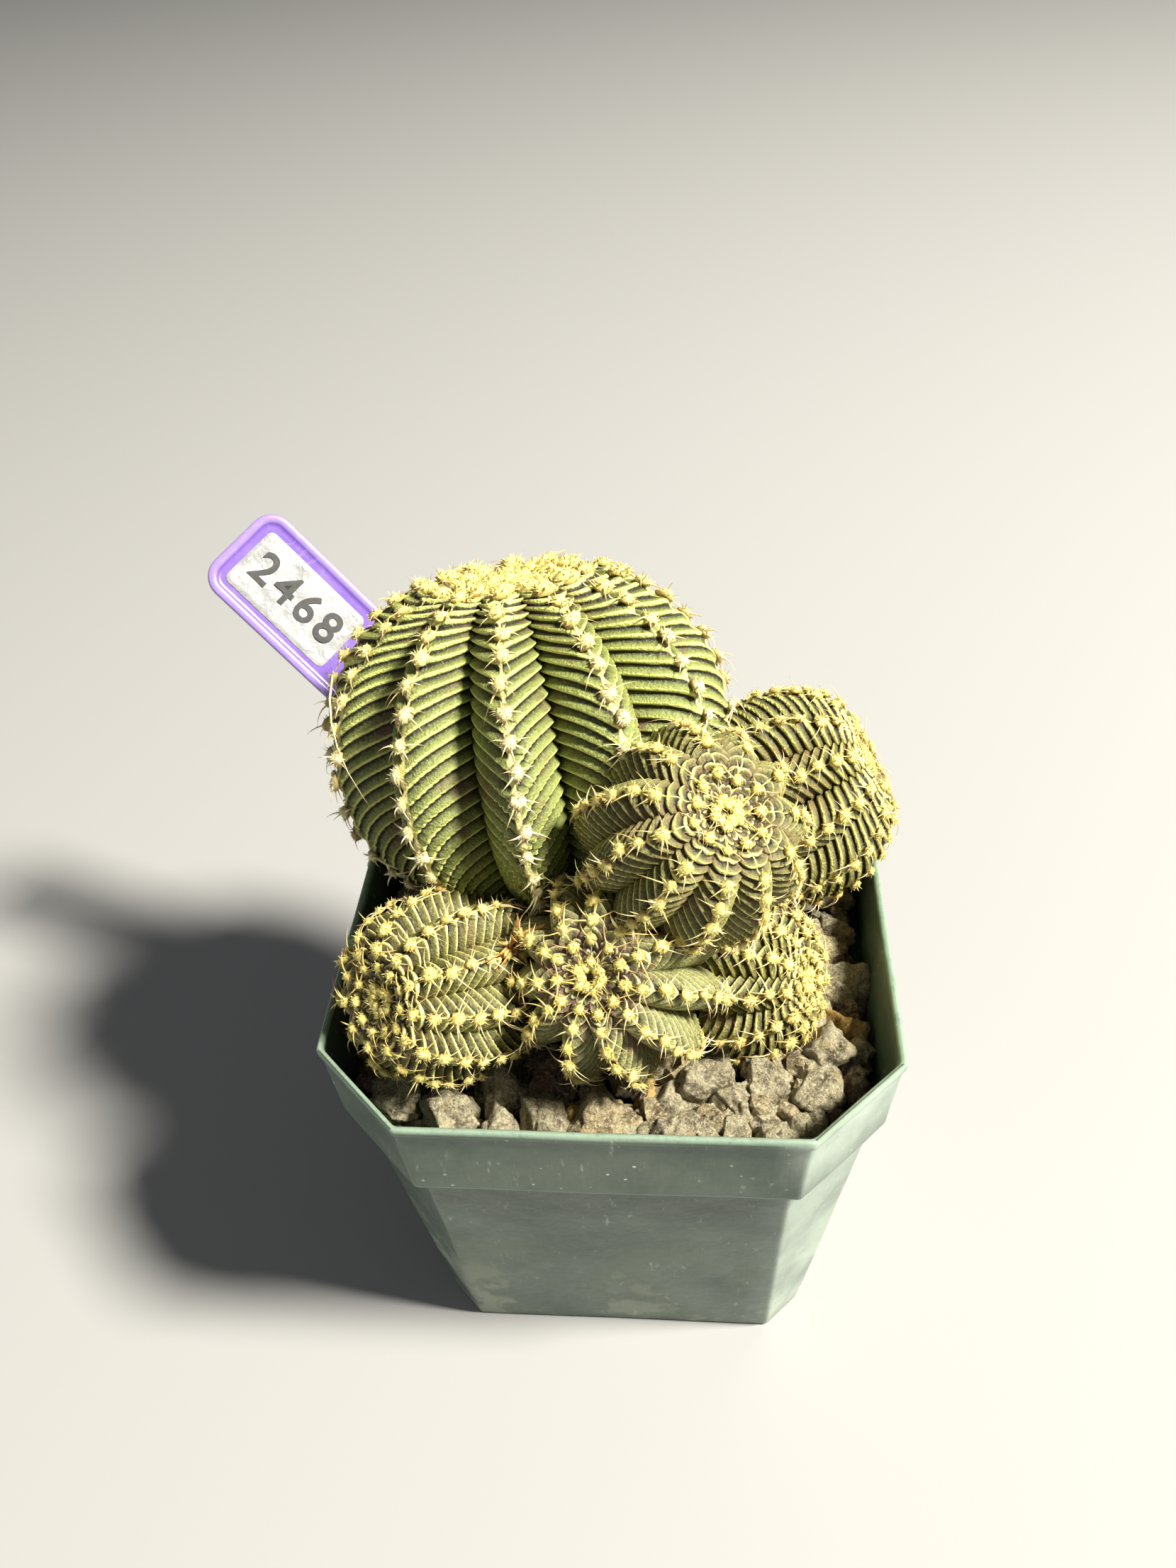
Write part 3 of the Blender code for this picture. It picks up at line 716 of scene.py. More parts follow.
def build_spines(name, length, width, crown_share):
    place, out, along, across, down = cushion_places(name)
    rng = np.random.default_rng(19)
    roots, headings, curls, lengths, widths, downs = [], [], [], [], [], []
    for fan in SPINE_FANS:
        likely = (0.92 if abs(fan) > 1.0 else 0.6) * np.where(down < 0.13, crown_share, 1)
        here = rng.uniform(size=len(place)) < likely
        count = here.sum()
        angle = fan + rng.normal(0, 0.22, count)
        rise = np.radians(rng.normal(40, 10, count))
        level = np.cos(angle)[:, None] * along[here] + np.sin(angle)[:, None] * across[here]
        heading = unit(np.cos(rise)[:, None] * level + np.sin(rise)[:, None] * out[here])
        curl = -rng.uniform(0.30, 0.85, count)[:, None] * out[here] + 0.36 * along[here]
        curl = curl + 0.10 * rng.normal(size=(count, 3))
        roots.append(place[here] + 0.3 * MM * out[here])
        headings.append(heading)
        curls.append(curl)
        lengths.append(length * rng.uniform(0.6, 1.25, count) * (1.15 if abs(fan) > 1.0 else 0.85))
        widths.append(width * rng.uniform(0.8, 1.2, count))
        downs.append(down[here])
    roots, headings, curls = map(np.concatenate, (roots, headings, curls))
    lengths, widths, downs = map(np.concatenate, (lengths, widths, downs))
    points = spine_points(roots, headings, curls, lengths, widths)
    per_spine = points.shape[1]
    tip = np.concatenate([[0], np.repeat(np.linspace(0, 0.94, SPINE_RINGS), SPINE_SIDES), [1]])
    quads, caps = split_faces(tube_faces(SPINE_RINGS, SPINE_SIDES))
    base = per_spine * np.arange(len(points))[:, None, None]
    all_faces = (base + quads).reshape(-1, 4).tolist() + (base + caps).reshape(-1, 3).tolist()
    make_piece(
        f"{name}_spines", points.reshape(-1, 3), all_faces, spine_straw, "stem_skin",
        tip=np.tile(tip, len(points)), down=np.repeat(downs, per_spine),
    )
    print(f"{name}: {len(points)} spines")


for stem_name in STEMS:
    is_main = stem_name == "stem_main"
    build_spines(stem_name, 3.3 * MM if is_main else 3.1 * MM, (0.18 if is_main else 0.13) * MM, 0.5)

# %% [markdown]
# ## A dry thread and a dry flower
#
# Two small accidents make the plant this plant: one long thin spine has slipped down the left side of the
# round stem, and a dried flower hangs on between two offsets. The thread is the same cone as a spine, only
# longer. The flower is a bunch of shrivelled petals, each a strip that narrows, twists and curls.

# %% Thread and flower
def flower_material():
    n = Nodes("dry_flower", Roughness=0.85)
    vein = n.noise(0.0006, detail=4.0, stretch=(1.0, 1.0, 0.3))
    n.set("Base Color", n.mix(n.ramp(vein, 0.35, 0.65), (0.22, 0.09, 0.025), (0.66, 0.38, 0.10)))
    return n.bump((vein, 0.0002))


def petal_points(rng, root, heading, length, width):
    """A strip at root + L(x heading + x^2 curl), as wide as w sin(pi sqrt(x)), turning as it goes."""
    x = np.linspace(0.02, 0.98, PETAL_ROWS)[:, None]
    curl = unit(rng.normal(size=3)) * 0.45
    middle = root + length * (x * heading + x ** 2 * curl)
    side = unit(np.cross(heading, rng.normal(size=3)))
    other = np.cross(heading, side)
    turn = 2.2 * x * rng.normal()
    across = (np.cos(turn) * side + np.sin(turn) * other) * width * np.sin(math.pi * np.sqrt(x))
    return np.stack([middle - across, middle + 0.35 * width * unit(curl), middle + across], axis=1)


PETAL_ROWS = 9


def build_flower(place, petals, length):
    rng = np.random.default_rng(12)
    points, faces = [], []
    row = 3 * np.arange(PETAL_ROWS - 1)[:, None]
    strip = np.concatenate([row + [0, 1, 4, 3], row + [1, 2, 5, 4]])
    for i in range(petals):
        heading = unit(rng.normal(size=3) + [0.0, -0.6, 0.7])
        long = length * rng.uniform(0.6, 1.2)
        petal = petal_points(rng, np.array(place), heading, long, 0.20 * long)
        points.append(petal.reshape(-1, 3))
        faces.append(strip + i * PETAL_ROWS * 3)
    points, faces = np.concatenate(points), np.concatenate(faces)
    flower = make_piece("dry_flower", points, faces, flower_material(), "stem_skin")
    thick = flower.modifiers.new("thickness", "SOLIDIFY")
    thick.thickness = 0.12 * MM


THREAD_ENDS = [(-0.0363, 0.0091, 0.0998), (-0.0290, -0.0086, 0.0930)]


def build_thread():
    """One long cone down the left flank, bowed by its own parabola."""
    centre, _, _, _ = stem_frame(STEMS["stem_main"])
    ends = np.array(THREAD_ENDS)
    lifted = ends + 0.8 * MM * unit(ends - centre)
    span = lifted[1] - lifted[0]
    bow = 0.42 * unit(ends.mean(0) - centre)
    length = np.linalg.norm(span)
    heading = (span / length + bow)[None]
    points = spine_points(lifted[:1], heading, -bow[None], np.array([length]), np.array([0.22 * MM]))[0]
    tip = np.concatenate([[0], np.repeat(np.linspace(0, 0.94, SPINE_RINGS), SPINE_SIDES), [1]])
    faces = tube_faces(SPINE_RINGS, SPINE_SIDES)
    tip, down = 0.5 * tip, np.full(len(tip), 0.4)
    make_piece("dry_thread", points, faces, spine_straw, "stem_skin", tip=tip, down=down)
    print(f"thread: {length / MM:.0f} mm long")


build_flower((-0.0114, -0.0186, 0.0784), 11, 3.4 * MM)
build_thread()

# %% [markdown]
# ## Stones
#
# The grit is crushed volcanic stone: blunt, pitted, dusty. Each stone starts from its CAD solid, whose flat
# faces say how far it reaches in every direction. A few extra flat chips, two sizes of noise, thin cracks
# and round bites make it rough, and it still sits where the CAD put it. The lower a stone's surface lies,
# the darker it is painted, a painted shade that makes the gaps between the stones read as deep, and its
# small pits are painted dark as painted shade too.

# %% Stone materials
def stone_material(name, base, pale, dark, speck):
    n = Nodes(name, Roughness=0.93)
    n.shader.inputs["Specular IOR Level"].default_value = 0.25
    cloud = n.noise(0.0030, detail=5.0, roughness=0.65)
    grain = n.noise(0.00045, detail=4.0, roughness=0.75)
    pits = n.cells(0.0007)
    height = n.add("ShaderNodeSeparateXYZ")
    n.link(n.coords, height.inputs[0])
    # Painted shade: from 4 mm above the soil down to 0.5 mm above it the stones are painted darker, so the
    # gaps between them read as deep.
    depth_shade = n.ramp(height.outputs["Z"], ORIGIN_TO_SOIL + 4.0 * MM, ORIGIN_TO_SOIL + 0.5 * MM)
    colour = n.mix(n.ramp(cloud, 0.36, 0.56), dark, base)
    colour = n.mix(n.ramp(grain, 0.44, 0.70), colour, pale)
    colour = n.mix(n.math("MULTIPLY", n.ramp(n.noise(0.0022, detail=2.0), 0.58, 0.70), 0.7), colour, speck)
    # Painted shade: the small pits, which the bump sinks, are painted dark.
    colour = n.mix(n.ramp(pits, 0.22, 0.05), colour, dark)
    colour = n.mix(n.math("MULTIPLY", depth_shade, 0.85), colour, tuple(0.35 * part for part in dark))
    n.set("Base Color", colour)
    return n.bump((n.noise(0.0014, detail=6.0, roughness=0.72), 0.0021), (pits, 0.00020))


STONE_LOOKS = {
    "stone_grey": stone_material(
        "stone_grey_look", (0.47, 0.42, 0.27), (0.78, 0.69, 0.47), (0.14, 0.115, 0.07), (0.50, 0.41, 0.22)
    ),
    "stone_tan": stone_material(
        "stone_tan_look", (0.50, 0.41, 0.23), (0.80, 0.71, 0.47), (0.18, 0.13, 0.07), (0.60, 0.46, 0.22)
    ),
    "stone_orange": stone_material(
        "stone_orange_look", (0.66, 0.42, 0.12), (0.82, 0.64, 0.30), (0.28, 0.15, 0.05), (0.70, 0.36, 0.07)
    ),
    "stone_brown": stone_material(
        "stone_brown_look", (0.22, 0.14, 0.09), (0.44, 0.33, 0.22), (0.07, 0.045, 0.03), (0.32, 0.16, 0.08)
    ),
}


# %% Stones
CHIPS = 11


def stone_reach(directions, middles, normals, centre):
    """How far a flat-sided solid reaches in each direction: the nearest of its face planes, rounded off."""
    distance = np.maximum(np.sum((middles - centre) * normals, axis=1), 1e-5)
    facing = directions @ normals.T
    closeness = np.maximum(facing, 1e-3) / distance
    power = 60
    return np.sum(closeness ** power, axis=1) ** (-1 / power)


def pitted(directions, rng, count, wide, deep):
    """Round bites: each is deep (1 - (a/wide)^2) where a is the angle from its middle."""
    middles = unit(rng.normal(size=(count, 3)))
    angle = np.arccos(np.clip(directions @ middles.T, -1, 1))
    width = rng.uniform(0.5 * wide, wide, count)
    return np.max(np.clip(1 - (angle / width) ** 2, 0, 1) * rng.uniform(0.3 * deep, deep, count), axis=1)


def build_stone(name, slot, directions, faces, seed):
    rng = np.random.default_rng(seed)
    corners = node_points(name)
    centre = 0.5 * (corners.min(0) + corners.max(0))
    middles, normals = node_faces(name)
    size = stone_reach(directions, middles, normals, centre).mean()
    chips = unit(rng.normal(size=(CHIPS, 3)))
    middles = np.concatenate([middles, centre + chips * rng.uniform(0.58, 0.86, (CHIPS, 1)) * size])
    middles[:-CHIPS] += 0.20 * (middles[:-CHIPS] - centre)
    reach = stone_reach(directions, middles, np.concatenate([normals, chips]), centre)
    shape = directions * size + centre
    lumps = 0.12 * lattice_noise(shape, 1.5 * MM, seed) + 0.07 * lattice_noise(shape, 0.7 * MM, seed + 2)
    cracks = 0.14 * (1 - np.abs(lattice_noise(shape, 1.6 * MM, seed + 1))) ** 6
    bites = pitted(directions, rng, 18, 0.46, 0.24)
    reach = reach * (1.38 + lumps - cracks - bites)
    points = centre + directions * reach[:, None]
    make_piece(f"{name}_rough", points, faces, STONE_LOOKS[slot], slot, [name])
    return size


slot_of = {row["node"]: row["material_slot"] for row in frame["record"]["subparts"]}
stone_names = sorted(name for name in frame["nodes"] if name.startswith("stone_"))
ball_points, ball_faces = ball(5)
sizes = [
    build_stone(name, slot_of[name], ball_points, ball_faces, 100 + i) for i, name in enumerate(stone_names)
]
print(f"{len(sizes)} stones, mean reach {np.mean(sizes) / MM:.1f} mm")

# %% [markdown]
# ## Fine grit
#
# Between the named stones lies smaller grit of the same kind, and it hides the flat top of the soil. It is
# one mesh per colour, made from three rough pebbles copied to scattered places with random turns and sizes.

# %% Fine grit
WALL_INSIDE = 0.0354
CORNER_INSIDE = 0.0424


def scattered_turns(rng, count):
    """Random rotation matrices from three random directions made square to each other."""
    first = unit(rng.normal(size=(count, 3)))
    second = unit(np.cross(first, rng.normal(size=(count, 3))))
    return np.stack([first, second, np.cross(first, second)], axis=1)


def build_grit(name, slot, count, small, large, low, high, seed):
    """Rough pebbles between two heights above the soil, kept inside the walls with their cut corners."""
    rng = np.random.default_rng(seed)
    size = small + (large - small) * rng.uniform(size=count) ** 2
    x, y = rng.uniform(-WALL_INSIDE, WALL_INSIDE, (2, count))
    inside = (np.abs(x) + size < WALL_INSIDE) & (np.abs(y) + size < WALL_INSIDE)
    inside &= (np.abs(x) + np.abs(y)) / math.sqrt(2) + size < CORNER_INSIDE
    size, x, y = size[inside], x[inside], y[inside]
    z = ORIGIN_TO_SOIL + rng.uniform(low, high, len(x)) - 0.4 * size
    directions, faces = ball(2)
    points, every, total = [], [], 0
    for kind in range(4):
        bites = pitted(directions, rng, 7, 0.9, 0.3)
        pattern = directions * (1.05 + 0.18 * rng.normal(size=len(directions)) - bites)[:, None]
        pattern = pattern * rng.uniform(0.75, 1.15, 3)
        mine = np.arange(len(x)) % 4 == kind
        turned = np.einsum("pi,nij->npj", pattern, scattered_turns(rng, mine.sum()))
        place = np.column_stack([x, y, z])[mine]
        moved = turned * size[mine][:, None, None] + place[:, None]
        base = total + len(pattern) * np.arange(mine.sum())[:, None, None]
        points.append(moved.reshape(-1, 3))
        every.append((base + faces[None]).reshape(-1, 3))
        total += moved.shape[0] * moved.shape[1]
    make_piece(name, np.concatenate(points), np.concatenate(every), STONE_LOOKS[slot], slot, smooth=False)
    print(f"{name}: {len(x)} grains")


build_grit("grit_grey", "stone_grey", 900, 1.1 * MM, 2.8 * MM, 0.8 * MM, 5.4 * MM, 3)
build_grit("grit_tan", "stone_tan", 420, 1.0 * MM, 2.6 * MM, 1.0 * MM, 5.7 * MM, 4)
build_grit("grit_brown", "stone_brown", 260, 1.0 * MM, 2.4 * MM, 0.3 * MM, 4.0 * MM, 5)
build_grit("grit_orange", "stone_orange", 70, 0.9 * MM, 2.3 * MM, 1.8 * MM, 5.2 * MM, 6)


# %% Soil
def soil_material():
    n = Nodes("soil_look", Roughness=0.96)
    crumbs = n.cells(0.0016)
    cloud = n.noise(0.004, detail=5.0)
    n.set("Base Color", n.mix(n.ramp(cloud, 0.35, 0.65), (0.025, 0.019, 0.013), (0.10, 0.075, 0.05)))
    return n.bump((crumbs, 0.0008))


soil = frame["nodes"]["soil_fill"]
soil.data.materials.clear()
soil.data.materials.append(soil_material())

# %% [markdown]
# ## The pot
#
# The pot is thin moulded plastic. Its outline is a square with cut corners, every corner a little
# rounded, and the wall is a stack of such outlines from the outer base up, over the lip and down inside.
# Plastic this thin is never quite flat, so a slow noise bows the walls by a fraction of a millimetre. Four
# drain holes are then cut through the floor. Lime creeps up from the base and thins out upwards, and this
# fade also paints shade on the upper body. A painted shadow darkens the body just below the band, dust
# speckles the band, and a painted sheen lies on the cut corner at the front right, which faces the light.

# %% Pot shape
def cut_square(half, cut, radius, z, arc=5, straight=14):
    """Outline of a square with cut corners, each of its eight corners an arc, as rows of points."""
    side = half - cut
    corners = np.array([
        (half, -side), (half, side), (side, half), (-side, half),
        (-half, side), (-half, -side), (-side, -half), (side, -half),
    ])
    outline = []
    for i in range(8):
        before, here, after = corners[i - 1], corners[i], corners[(i + 1) % 8]
        into, out = unit(before - here), unit(after - here)
        reach = radius * math.tan(math.radians(22.5))
        start, end = here + into * reach, here + out * reach
        t = np.linspace(0, 1, arc)[:, None]
        outline.append((1 - t) ** 2 * start + 2 * t * (1 - t) * here + t ** 2 * end)
        next_start = after + unit(here - after) * reach
        length = np.linalg.norm(next_start - end)
        margin = 0.35 * MM / length
        share = np.linspace(margin, 1 - margin, straight)[:, None]
        outline.append(end + (next_start - end) * share)
    flat = np.concatenate(outline)
    return np.column_stack([flat, np.full(len(flat), z)])


RIM_HALF = float(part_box("pot")[1].x)
POT_TOP = float(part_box("pot")[1].z)
BAND_BOTTOM = POT_TOP - 14.3 * MM
BAND_STEP = 1.2 * MM
BASE_HALF, BODY_FLARE = 27.7 * MM, 7.9 * MM
BASE_CUT, CUT_FLARE = 4.9 * MM, 6.9 * MM
BAND_HALF, LIP_HALF, RIM_CUT = 36.8 * MM, 37.6 * MM, 12 * MM
LIP_HEIGHT = 1.6 * MM
POT_WALL, POT_FLOOR = 1.1 * MM, 1.4 * MM
LEDGE_HALF, LEDGE_INWARD = 35.3 * MM, 1.5 * MM
OUTER_CORNER, INNER_CORNER = 1.0 * MM, 1.2 * MM
RIM_CORNER, MOUTH_CORNER = 1.6 * MM, 1.4 * MM
OFFSET_CUT = 2 - math.sqrt(2)


def pot_body(z):
    """Half width and corner cut of the body's outer face at height z."""
    return BASE_HALF + BODY_FLARE * z / BAND_BOTTOM, BASE_CUT + CUT_FLARE * z / BAND_BOTTOM


def outer_rings():
    """Outlines from the base, up the body, out under the band and up to the lip's outer edge."""
    half, cut = pot_body(0)
    rings = []
    for z, grow in [(0.0, -0.9), (0.05, -0.35), (0.35, -0.05), (0.9, 0.0)]:
        rings.append(cut_square(half + grow * MM, cut + OFFSET_CUT * grow * MM, OUTER_CORNER, z * MM))
    for z in np.linspace(2.5 * MM, BAND_BOTTOM - 0.5 * MM, 22):
        rings.append(cut_square(*pot_body(z), OUTER_CORNER, z))
    half, cut = pot_body(BAND_BOTTOM)
    rings.append(cut_square(half, cut, OUTER_CORNER, BAND_BOTTOM - 0.12 * MM))
    for out, z in [(0.12, -0.03), (0.35, 0.0), (0.95, 0.0), (1.13, 0.06), (1.2, 0.22)]:
        cut = RIM_CUT - OFFSET_CUT * (BAND_STEP - out * MM)
        rings.append(cut_square(half + out * MM, cut, OUTER_CORNER, BAND_BOTTOM + z * MM))
    lip = POT_TOP - LIP_HEIGHT
    for share in np.linspace(0.06, 1.0, 9):
        half = BAND_HALF + (LIP_HALF - BAND_HALF) * share
        rings.append(cut_square(half, RIM_CUT, OUTER_CORNER, BAND_BOTTOM + (lip - BAND_BOTTOM) * share))
    lip_profile = [(0.02, 0.1), (0.22, 0.2), (0.38, 0.36)]
    lip_profile += [(0.42, 0.7), (0.42, 1.1), (0.34, 1.42), (0.12, 1.6)]
    for out, z in lip_profile:
        cut = RIM_CUT + OFFSET_CUT * out * MM
        rings.append(cut_square(LIP_HALF + out * MM, cut, OUTER_CORNER, lip + z * MM))
    return rings


def inner_rings():
    """Outlines from the top of the lip, down the band to the ledge, and down the body to the floor."""
    rings = []
    for inward, drop in [(0.35, 0.0), (0.62, 0.06), (0.92, 0.3), (1.06, 0.8)]:
        cut = RIM_CUT - OFFSET_CUT * inward * MM
        rings.append(cut_square(RIM_HALF - inward * MM, cut, RIM_CORNER, POT_TOP - drop * MM))
    ledge = BAND_BOTTOM + POT_WALL
    for share in np.linspace(0.12, 0.97, 8):
        half = RIM_HALF - POT_WALL - BAND_STEP * share
        z = POT_TOP + (ledge - POT_TOP) * share
        rings.append(cut_square(half, RIM_CUT - OFFSET_CUT * POT_WALL, MOUTH_CORNER, z))
    rings.append(cut_square(LEDGE_HALF, RIM_CUT - OFFSET_CUT * LEDGE_INWARD, INNER_CORNER, ledge))
    for z in np.linspace(ledge - 0.3 * MM, POT_FLOOR + 0.5 * MM, 14):
        half, cut = pot_body(z)
        rings.append(cut_square(half - POT_WALL, cut - OFFSET_CUT * POT_WALL, INNER_CORNER, z))
    half, cut = pot_body(POT_FLOOR)
    half -= POT_WALL + 0.5 * MM
    rings.append(cut_square(half, cut - OFFSET_CUT * POT_WALL, INNER_CORNER, POT_FLOOR))
    return rings


# %% Pot material
def pot_material():
    n = Nodes("pot_look", Roughness=0.45)
    n.shader.inputs["Specular IOR Level"].default_value = 0.5
    n.shader.inputs["Subsurface Weight"].default_value = 0.20
    n.shader.inputs["Subsurface Radius"].default_value = (0.0010, 0.0022, 0.0016)
    n.shader.inputs["Subsurface Scale"].default_value = 1.0
    rim = n.value("rim")
    height = n.value("height")
    cloud = n.noise(0.014, detail=4.0, roughness=0.6)
    fine = n.noise(0.0012, detail=4.0, roughness=0.7)
    colour = n.mix(n.ramp(cloud, 0.3, 0.7), (0.048, 0.086, 0.062), (0.108, 0.150, 0.112))
    lime = n.ramp(n.noise(0.009, detail=5.0, roughness=0.58), 0.47, 0.62)
    # Lime scale is real pale patches; its fade towards the top is also painted shade, which keeps the upper
    # body darker below the band.
    scale = n.math("MULTIPLY", lime, n.ramp(height, 0.66, 0.06, 0.06, 1.0))
    colour = n.mix(n.math("MULTIPLY", scale, 0.70), colour, (0.34, 0.37, 0.30))
    # Painted shadow: the body just below the overhanging band is darkened.
    band_shadow = n.math("MULTIPLY", n.ramp(height, 0.50, 0.76), n.ramp(height, 0.790, 0.780))
    colour = n.mix(n.math("MULTIPLY", band_shadow, 0.55), colour, (0.026, 0.050, 0.038))
    streak = n.noise(0.0011, detail=5.0, roughness=0.7, stretch=(1.0, 1.0, 0.22))
    dust = n.math("MULTIPLY", n.ramp(streak, 0.60, 0.72), n.ramp(cloud, 0.30, 0.60))
    colour = n.mix(n.math("MULTIPLY", dust, 0.50), colour, (0.55, 0.58, 0.50))
    # Painted sheen: the cut corner at the front right, which faces the light, is painted paler.
    haze = n.math("MULTIPLY", n.value("haze"), n.ramp(n.noise(0.009, detail=4.0), 0.25, 0.60, 0.40, 0.85))
    colour = n.mix(haze, colour, (0.42, 0.49, 0.42))
    specks = n.math("MULTIPLY", n.ramp(n.cells(0.0026), 0.11, 0.07), n.ramp(cloud, 0.40, 0.60))
    colour = n.mix(n.math("MULTIPLY", specks, n.ramp(height, 0.74, 0.84)), colour, (0.74, 0.78, 0.68))
    worn = n.math("MULTIPLY", n.ramp(rim, 0.35, 1.0), n.ramp(fine, 0.20, 0.55, 0.45, 0.95))
    colour = n.mix(worn, colour, (0.25, 0.33, 0.25))
    n.set("Base Color", colour)
    n.set("Roughness", n.ramp(n.math("ADD", scale, n.math("MULTIPLY", fine, 0.5)), 0.1, 0.9, 0.36, 0.75))
    scratch = n.noise(0.0006, detail=3.0, stretch=(1.0, 1.0, 0.08))
    return n.bump((cloud, 0.0006), (scratch, 0.00003), (fine, 0.00002))


def corner_reach(z):
    """x - y of the front right cut corner's outer face at height z."""
    half, cut = pot_body(z)
    return np.where(z < BAND_BOTTOM, 2 * half - cut, BAND_HALF + LIP_HALF - RIM_CUT)


DRAIN_PLACE = 16.5 * MM
DRAIN_RADIUS = 2.8 * MM
DRAIN_SIDES = 24


def drain_cutter(x, y):
    """A round bar standing through the pot's floor."""
    i = np.arange(DRAIN_SIDES)
    j = (i + 1) % DRAIN_SIDES
    turn = 2 * math.pi * i / DRAIN_SIDES
    flat = np.column_stack([x + DRAIN_RADIUS * np.cos(turn), y + DRAIN_RADIUS * np.sin(turn)])
    points = np.concatenate([np.column_stack([flat, np.full(DRAIN_SIDES, z)]) for z in (-3 * MM, 5 * MM)])
    sides = np.stack([i, j, DRAIN_SIDES + j, DRAIN_SIDES + i], -1).tolist()
    mesh = bpy.data.meshes.new("drain_cutter")
    mesh.from_pydata(points.tolist(), [], sides + [i[::-1].tolist(), (DRAIN_SIDES + i).tolist()])
    cutter = bpy.data.objects.new("drain_cutter", mesh)
    bpy.context.scene.collection.objects.link(cutter)
    return cutter


def drill_base(pot):
    """Cut the four drain holes one after another, keeping the cut mesh each time."""
    for x, y in ((1, 1), (-1, 1), (-1, -1), (1, -1)):
        cutter = drain_cutter(x * DRAIN_PLACE, y * DRAIN_PLACE)
        cut = pot.modifiers.new("drain", "BOOLEAN")
        cut.operation = "DIFFERENCE"
        cut.solver = "EXACT"
        cut.object = cutter
        bpy.context.view_layer.update()
        seen = pot.evaluated_get(bpy.context.evaluated_depsgraph_get())
        drilled = bpy.data.meshes.new_from_object(seen)
        pot.modifiers.remove(cut)
        pot.data = drilled
        bpy.data.objects.remove(cutter)


def build_pot():
    rings = np.array(outer_rings() + inner_rings())
    count = rings.shape[1]
    flat = unit(rings * [1, 1, 0] + [0, 0, 1e-12])
    bow = 0.22 * MM * lattice_noise(rings, 17 * MM, 21) + 0.05 * MM * lattice_noise(rings, 6 * MM, 22)
    free = smooth_step(0, 6 * MM, rings[..., 2]) * smooth_step(POT_TOP, POT_TOP - 1.0 * MM, rings[..., 2])
    rings = rings + (bow * (0.25 + 0.75 * free) - 0.1 * MM)[..., None] * flat
    nick = 0.10 * MM * np.clip(lattice_noise(rings, 1.3 * MM, 23) - 0.25, 0, 1)
    rings[..., 2] -= nick * smooth_step(POT_TOP - 0.4 * MM, POT_TOP, rings[..., 2])
    under, floor = rings[0].mean(0), rings[-1].mean(0)
    points = np.concatenate([[under], rings.reshape(-1, 3), [floor]])
    faces = [face[::-1] for face in tube_faces(len(rings), count)]
    outer = np.linalg.norm(points[:, :2], axis=1)
    near_top = smooth_step(POT_TOP - 1.3 * MM, POT_TOP - 0.1 * MM, points[:, 2])
    band_edge = np.exp(-(((points[:, 2] - (BAND_BOTTOM + 0.1 * MM)) / (0.35 * MM)) ** 2))
    base_edge = np.exp(-((points[:, 2] / (0.5 * MM)) ** 2)) * (outer > 24 * MM)
    to_corner = points[:, 0] - points[:, 1]
    # Where the painted sheen lies: the outer face of the front right cut corner.
    haze = smooth_step(-1.6 * MM, 0.4 * MM, to_corner - corner_reach(points[:, 2])) * (outer > 20 * MM)
    pot = make_piece(
        "pot_shell", points, faces, pot_material(), "pot_plastic", ["pot"],
        rim=np.maximum(near_top, np.maximum(0.75 * band_edge, 0.8 * base_edge)),
        height=points[:, 2] / POT_TOP, haze=haze,
    )
    drill_base(pot)
    print(f"pot: {len(faces)} faces, widest {2 * outer.max() / MM:.1f} mm across its corners")


build_pot()

# %% [markdown]
# ## The label
#
# A purple plastic stake carries a strip of printed tape. The stake has a raised border, which catches a
# bright line of light, and the border is also painted paler as a painted highlight. The tape is slightly
# wrinkled. Both are stacks of rounded outlines laid in the plane of the CAD stake, whose directions are
# measured from its own points. The printed number is a plain sample number.

# %% Label frame
def label_frame():
    """Top middle, long, across and front directions of the stake, from the spread of its CAD points."""
    points = node_points("label_stake")
    middle = points.mean(0)
    _, _, axes = np.linalg.svd(points - middle, full_matrices=False)
    along = axes[0] * np.sign(axes[0][2])
    front = axes[2] * -np.sign(axes[2][1])
    across = np.cross(along, front)
    across = across * np.sign(across[0])
    length = (points - middle) @ along
    width = (points - middle) @ across
    depth = (points - middle) @ front
    top = middle + length.max() * along + 0.5 * (width.max() + width.min()) * across
    top = top + 0.5 * (depth.max() + depth.min()) * front
    return top, along, across, front, np.ptp(length), np.ptp(width), np.ptp(depth)


LABEL_TOP, LABEL_ALONG, LABEL_ACROSS, LABEL_FRONT, LABEL_LENGTH, LABEL_WIDTH, LABEL_THICK = label_frame()


def on_label(across, below, proud):
    """Points across the stake, below its top end and proud of its middle plane."""
    across, below, proud = np.broadcast_arrays(across, below, proud)
    return (
        LABEL_TOP
        + across[..., None] * LABEL_ACROSS
        - below[..., None] * LABEL_ALONG
        + proud[..., None] * LABEL_FRONT
    )


def stake_outline(inset, corner=3.6 * MM, arc=9, straight=40):
    """Half a rounded strip mirrored: an arc at the top corner, a straight side, and a taper to the tip."""
    half = LABEL_WIDTH / 2 - inset
    radius = max(corner - inset, 0.3 * MM)
    turn = np.linspace(math.pi / 2, 0, arc)
    a = half - radius + radius * np.cos(turn)
    b = inset + radius - radius * np.sin(turn)
    side_b = np.linspace(b[-1], LABEL_LENGTH - 9 * MM, straight)[1:]
    a = np.concatenate([a, np.full(len(side_b), half), [2 * MM]])
    b = np.concatenate([b, side_b, [LABEL_LENGTH - inset]])
    return np.concatenate([a, -a[::-1]]), np.concatenate([b, b[::-1]])


def cap_stack(rings):
    """Join outlines in order and close both ends with a point at their middles."""
    count = len(rings[0])
    points = np.concatenate([[rings[0].mean(0)], np.concatenate(rings), [rings[-1].mean(0)]])
    return points, tube_faces(len(rings), count)


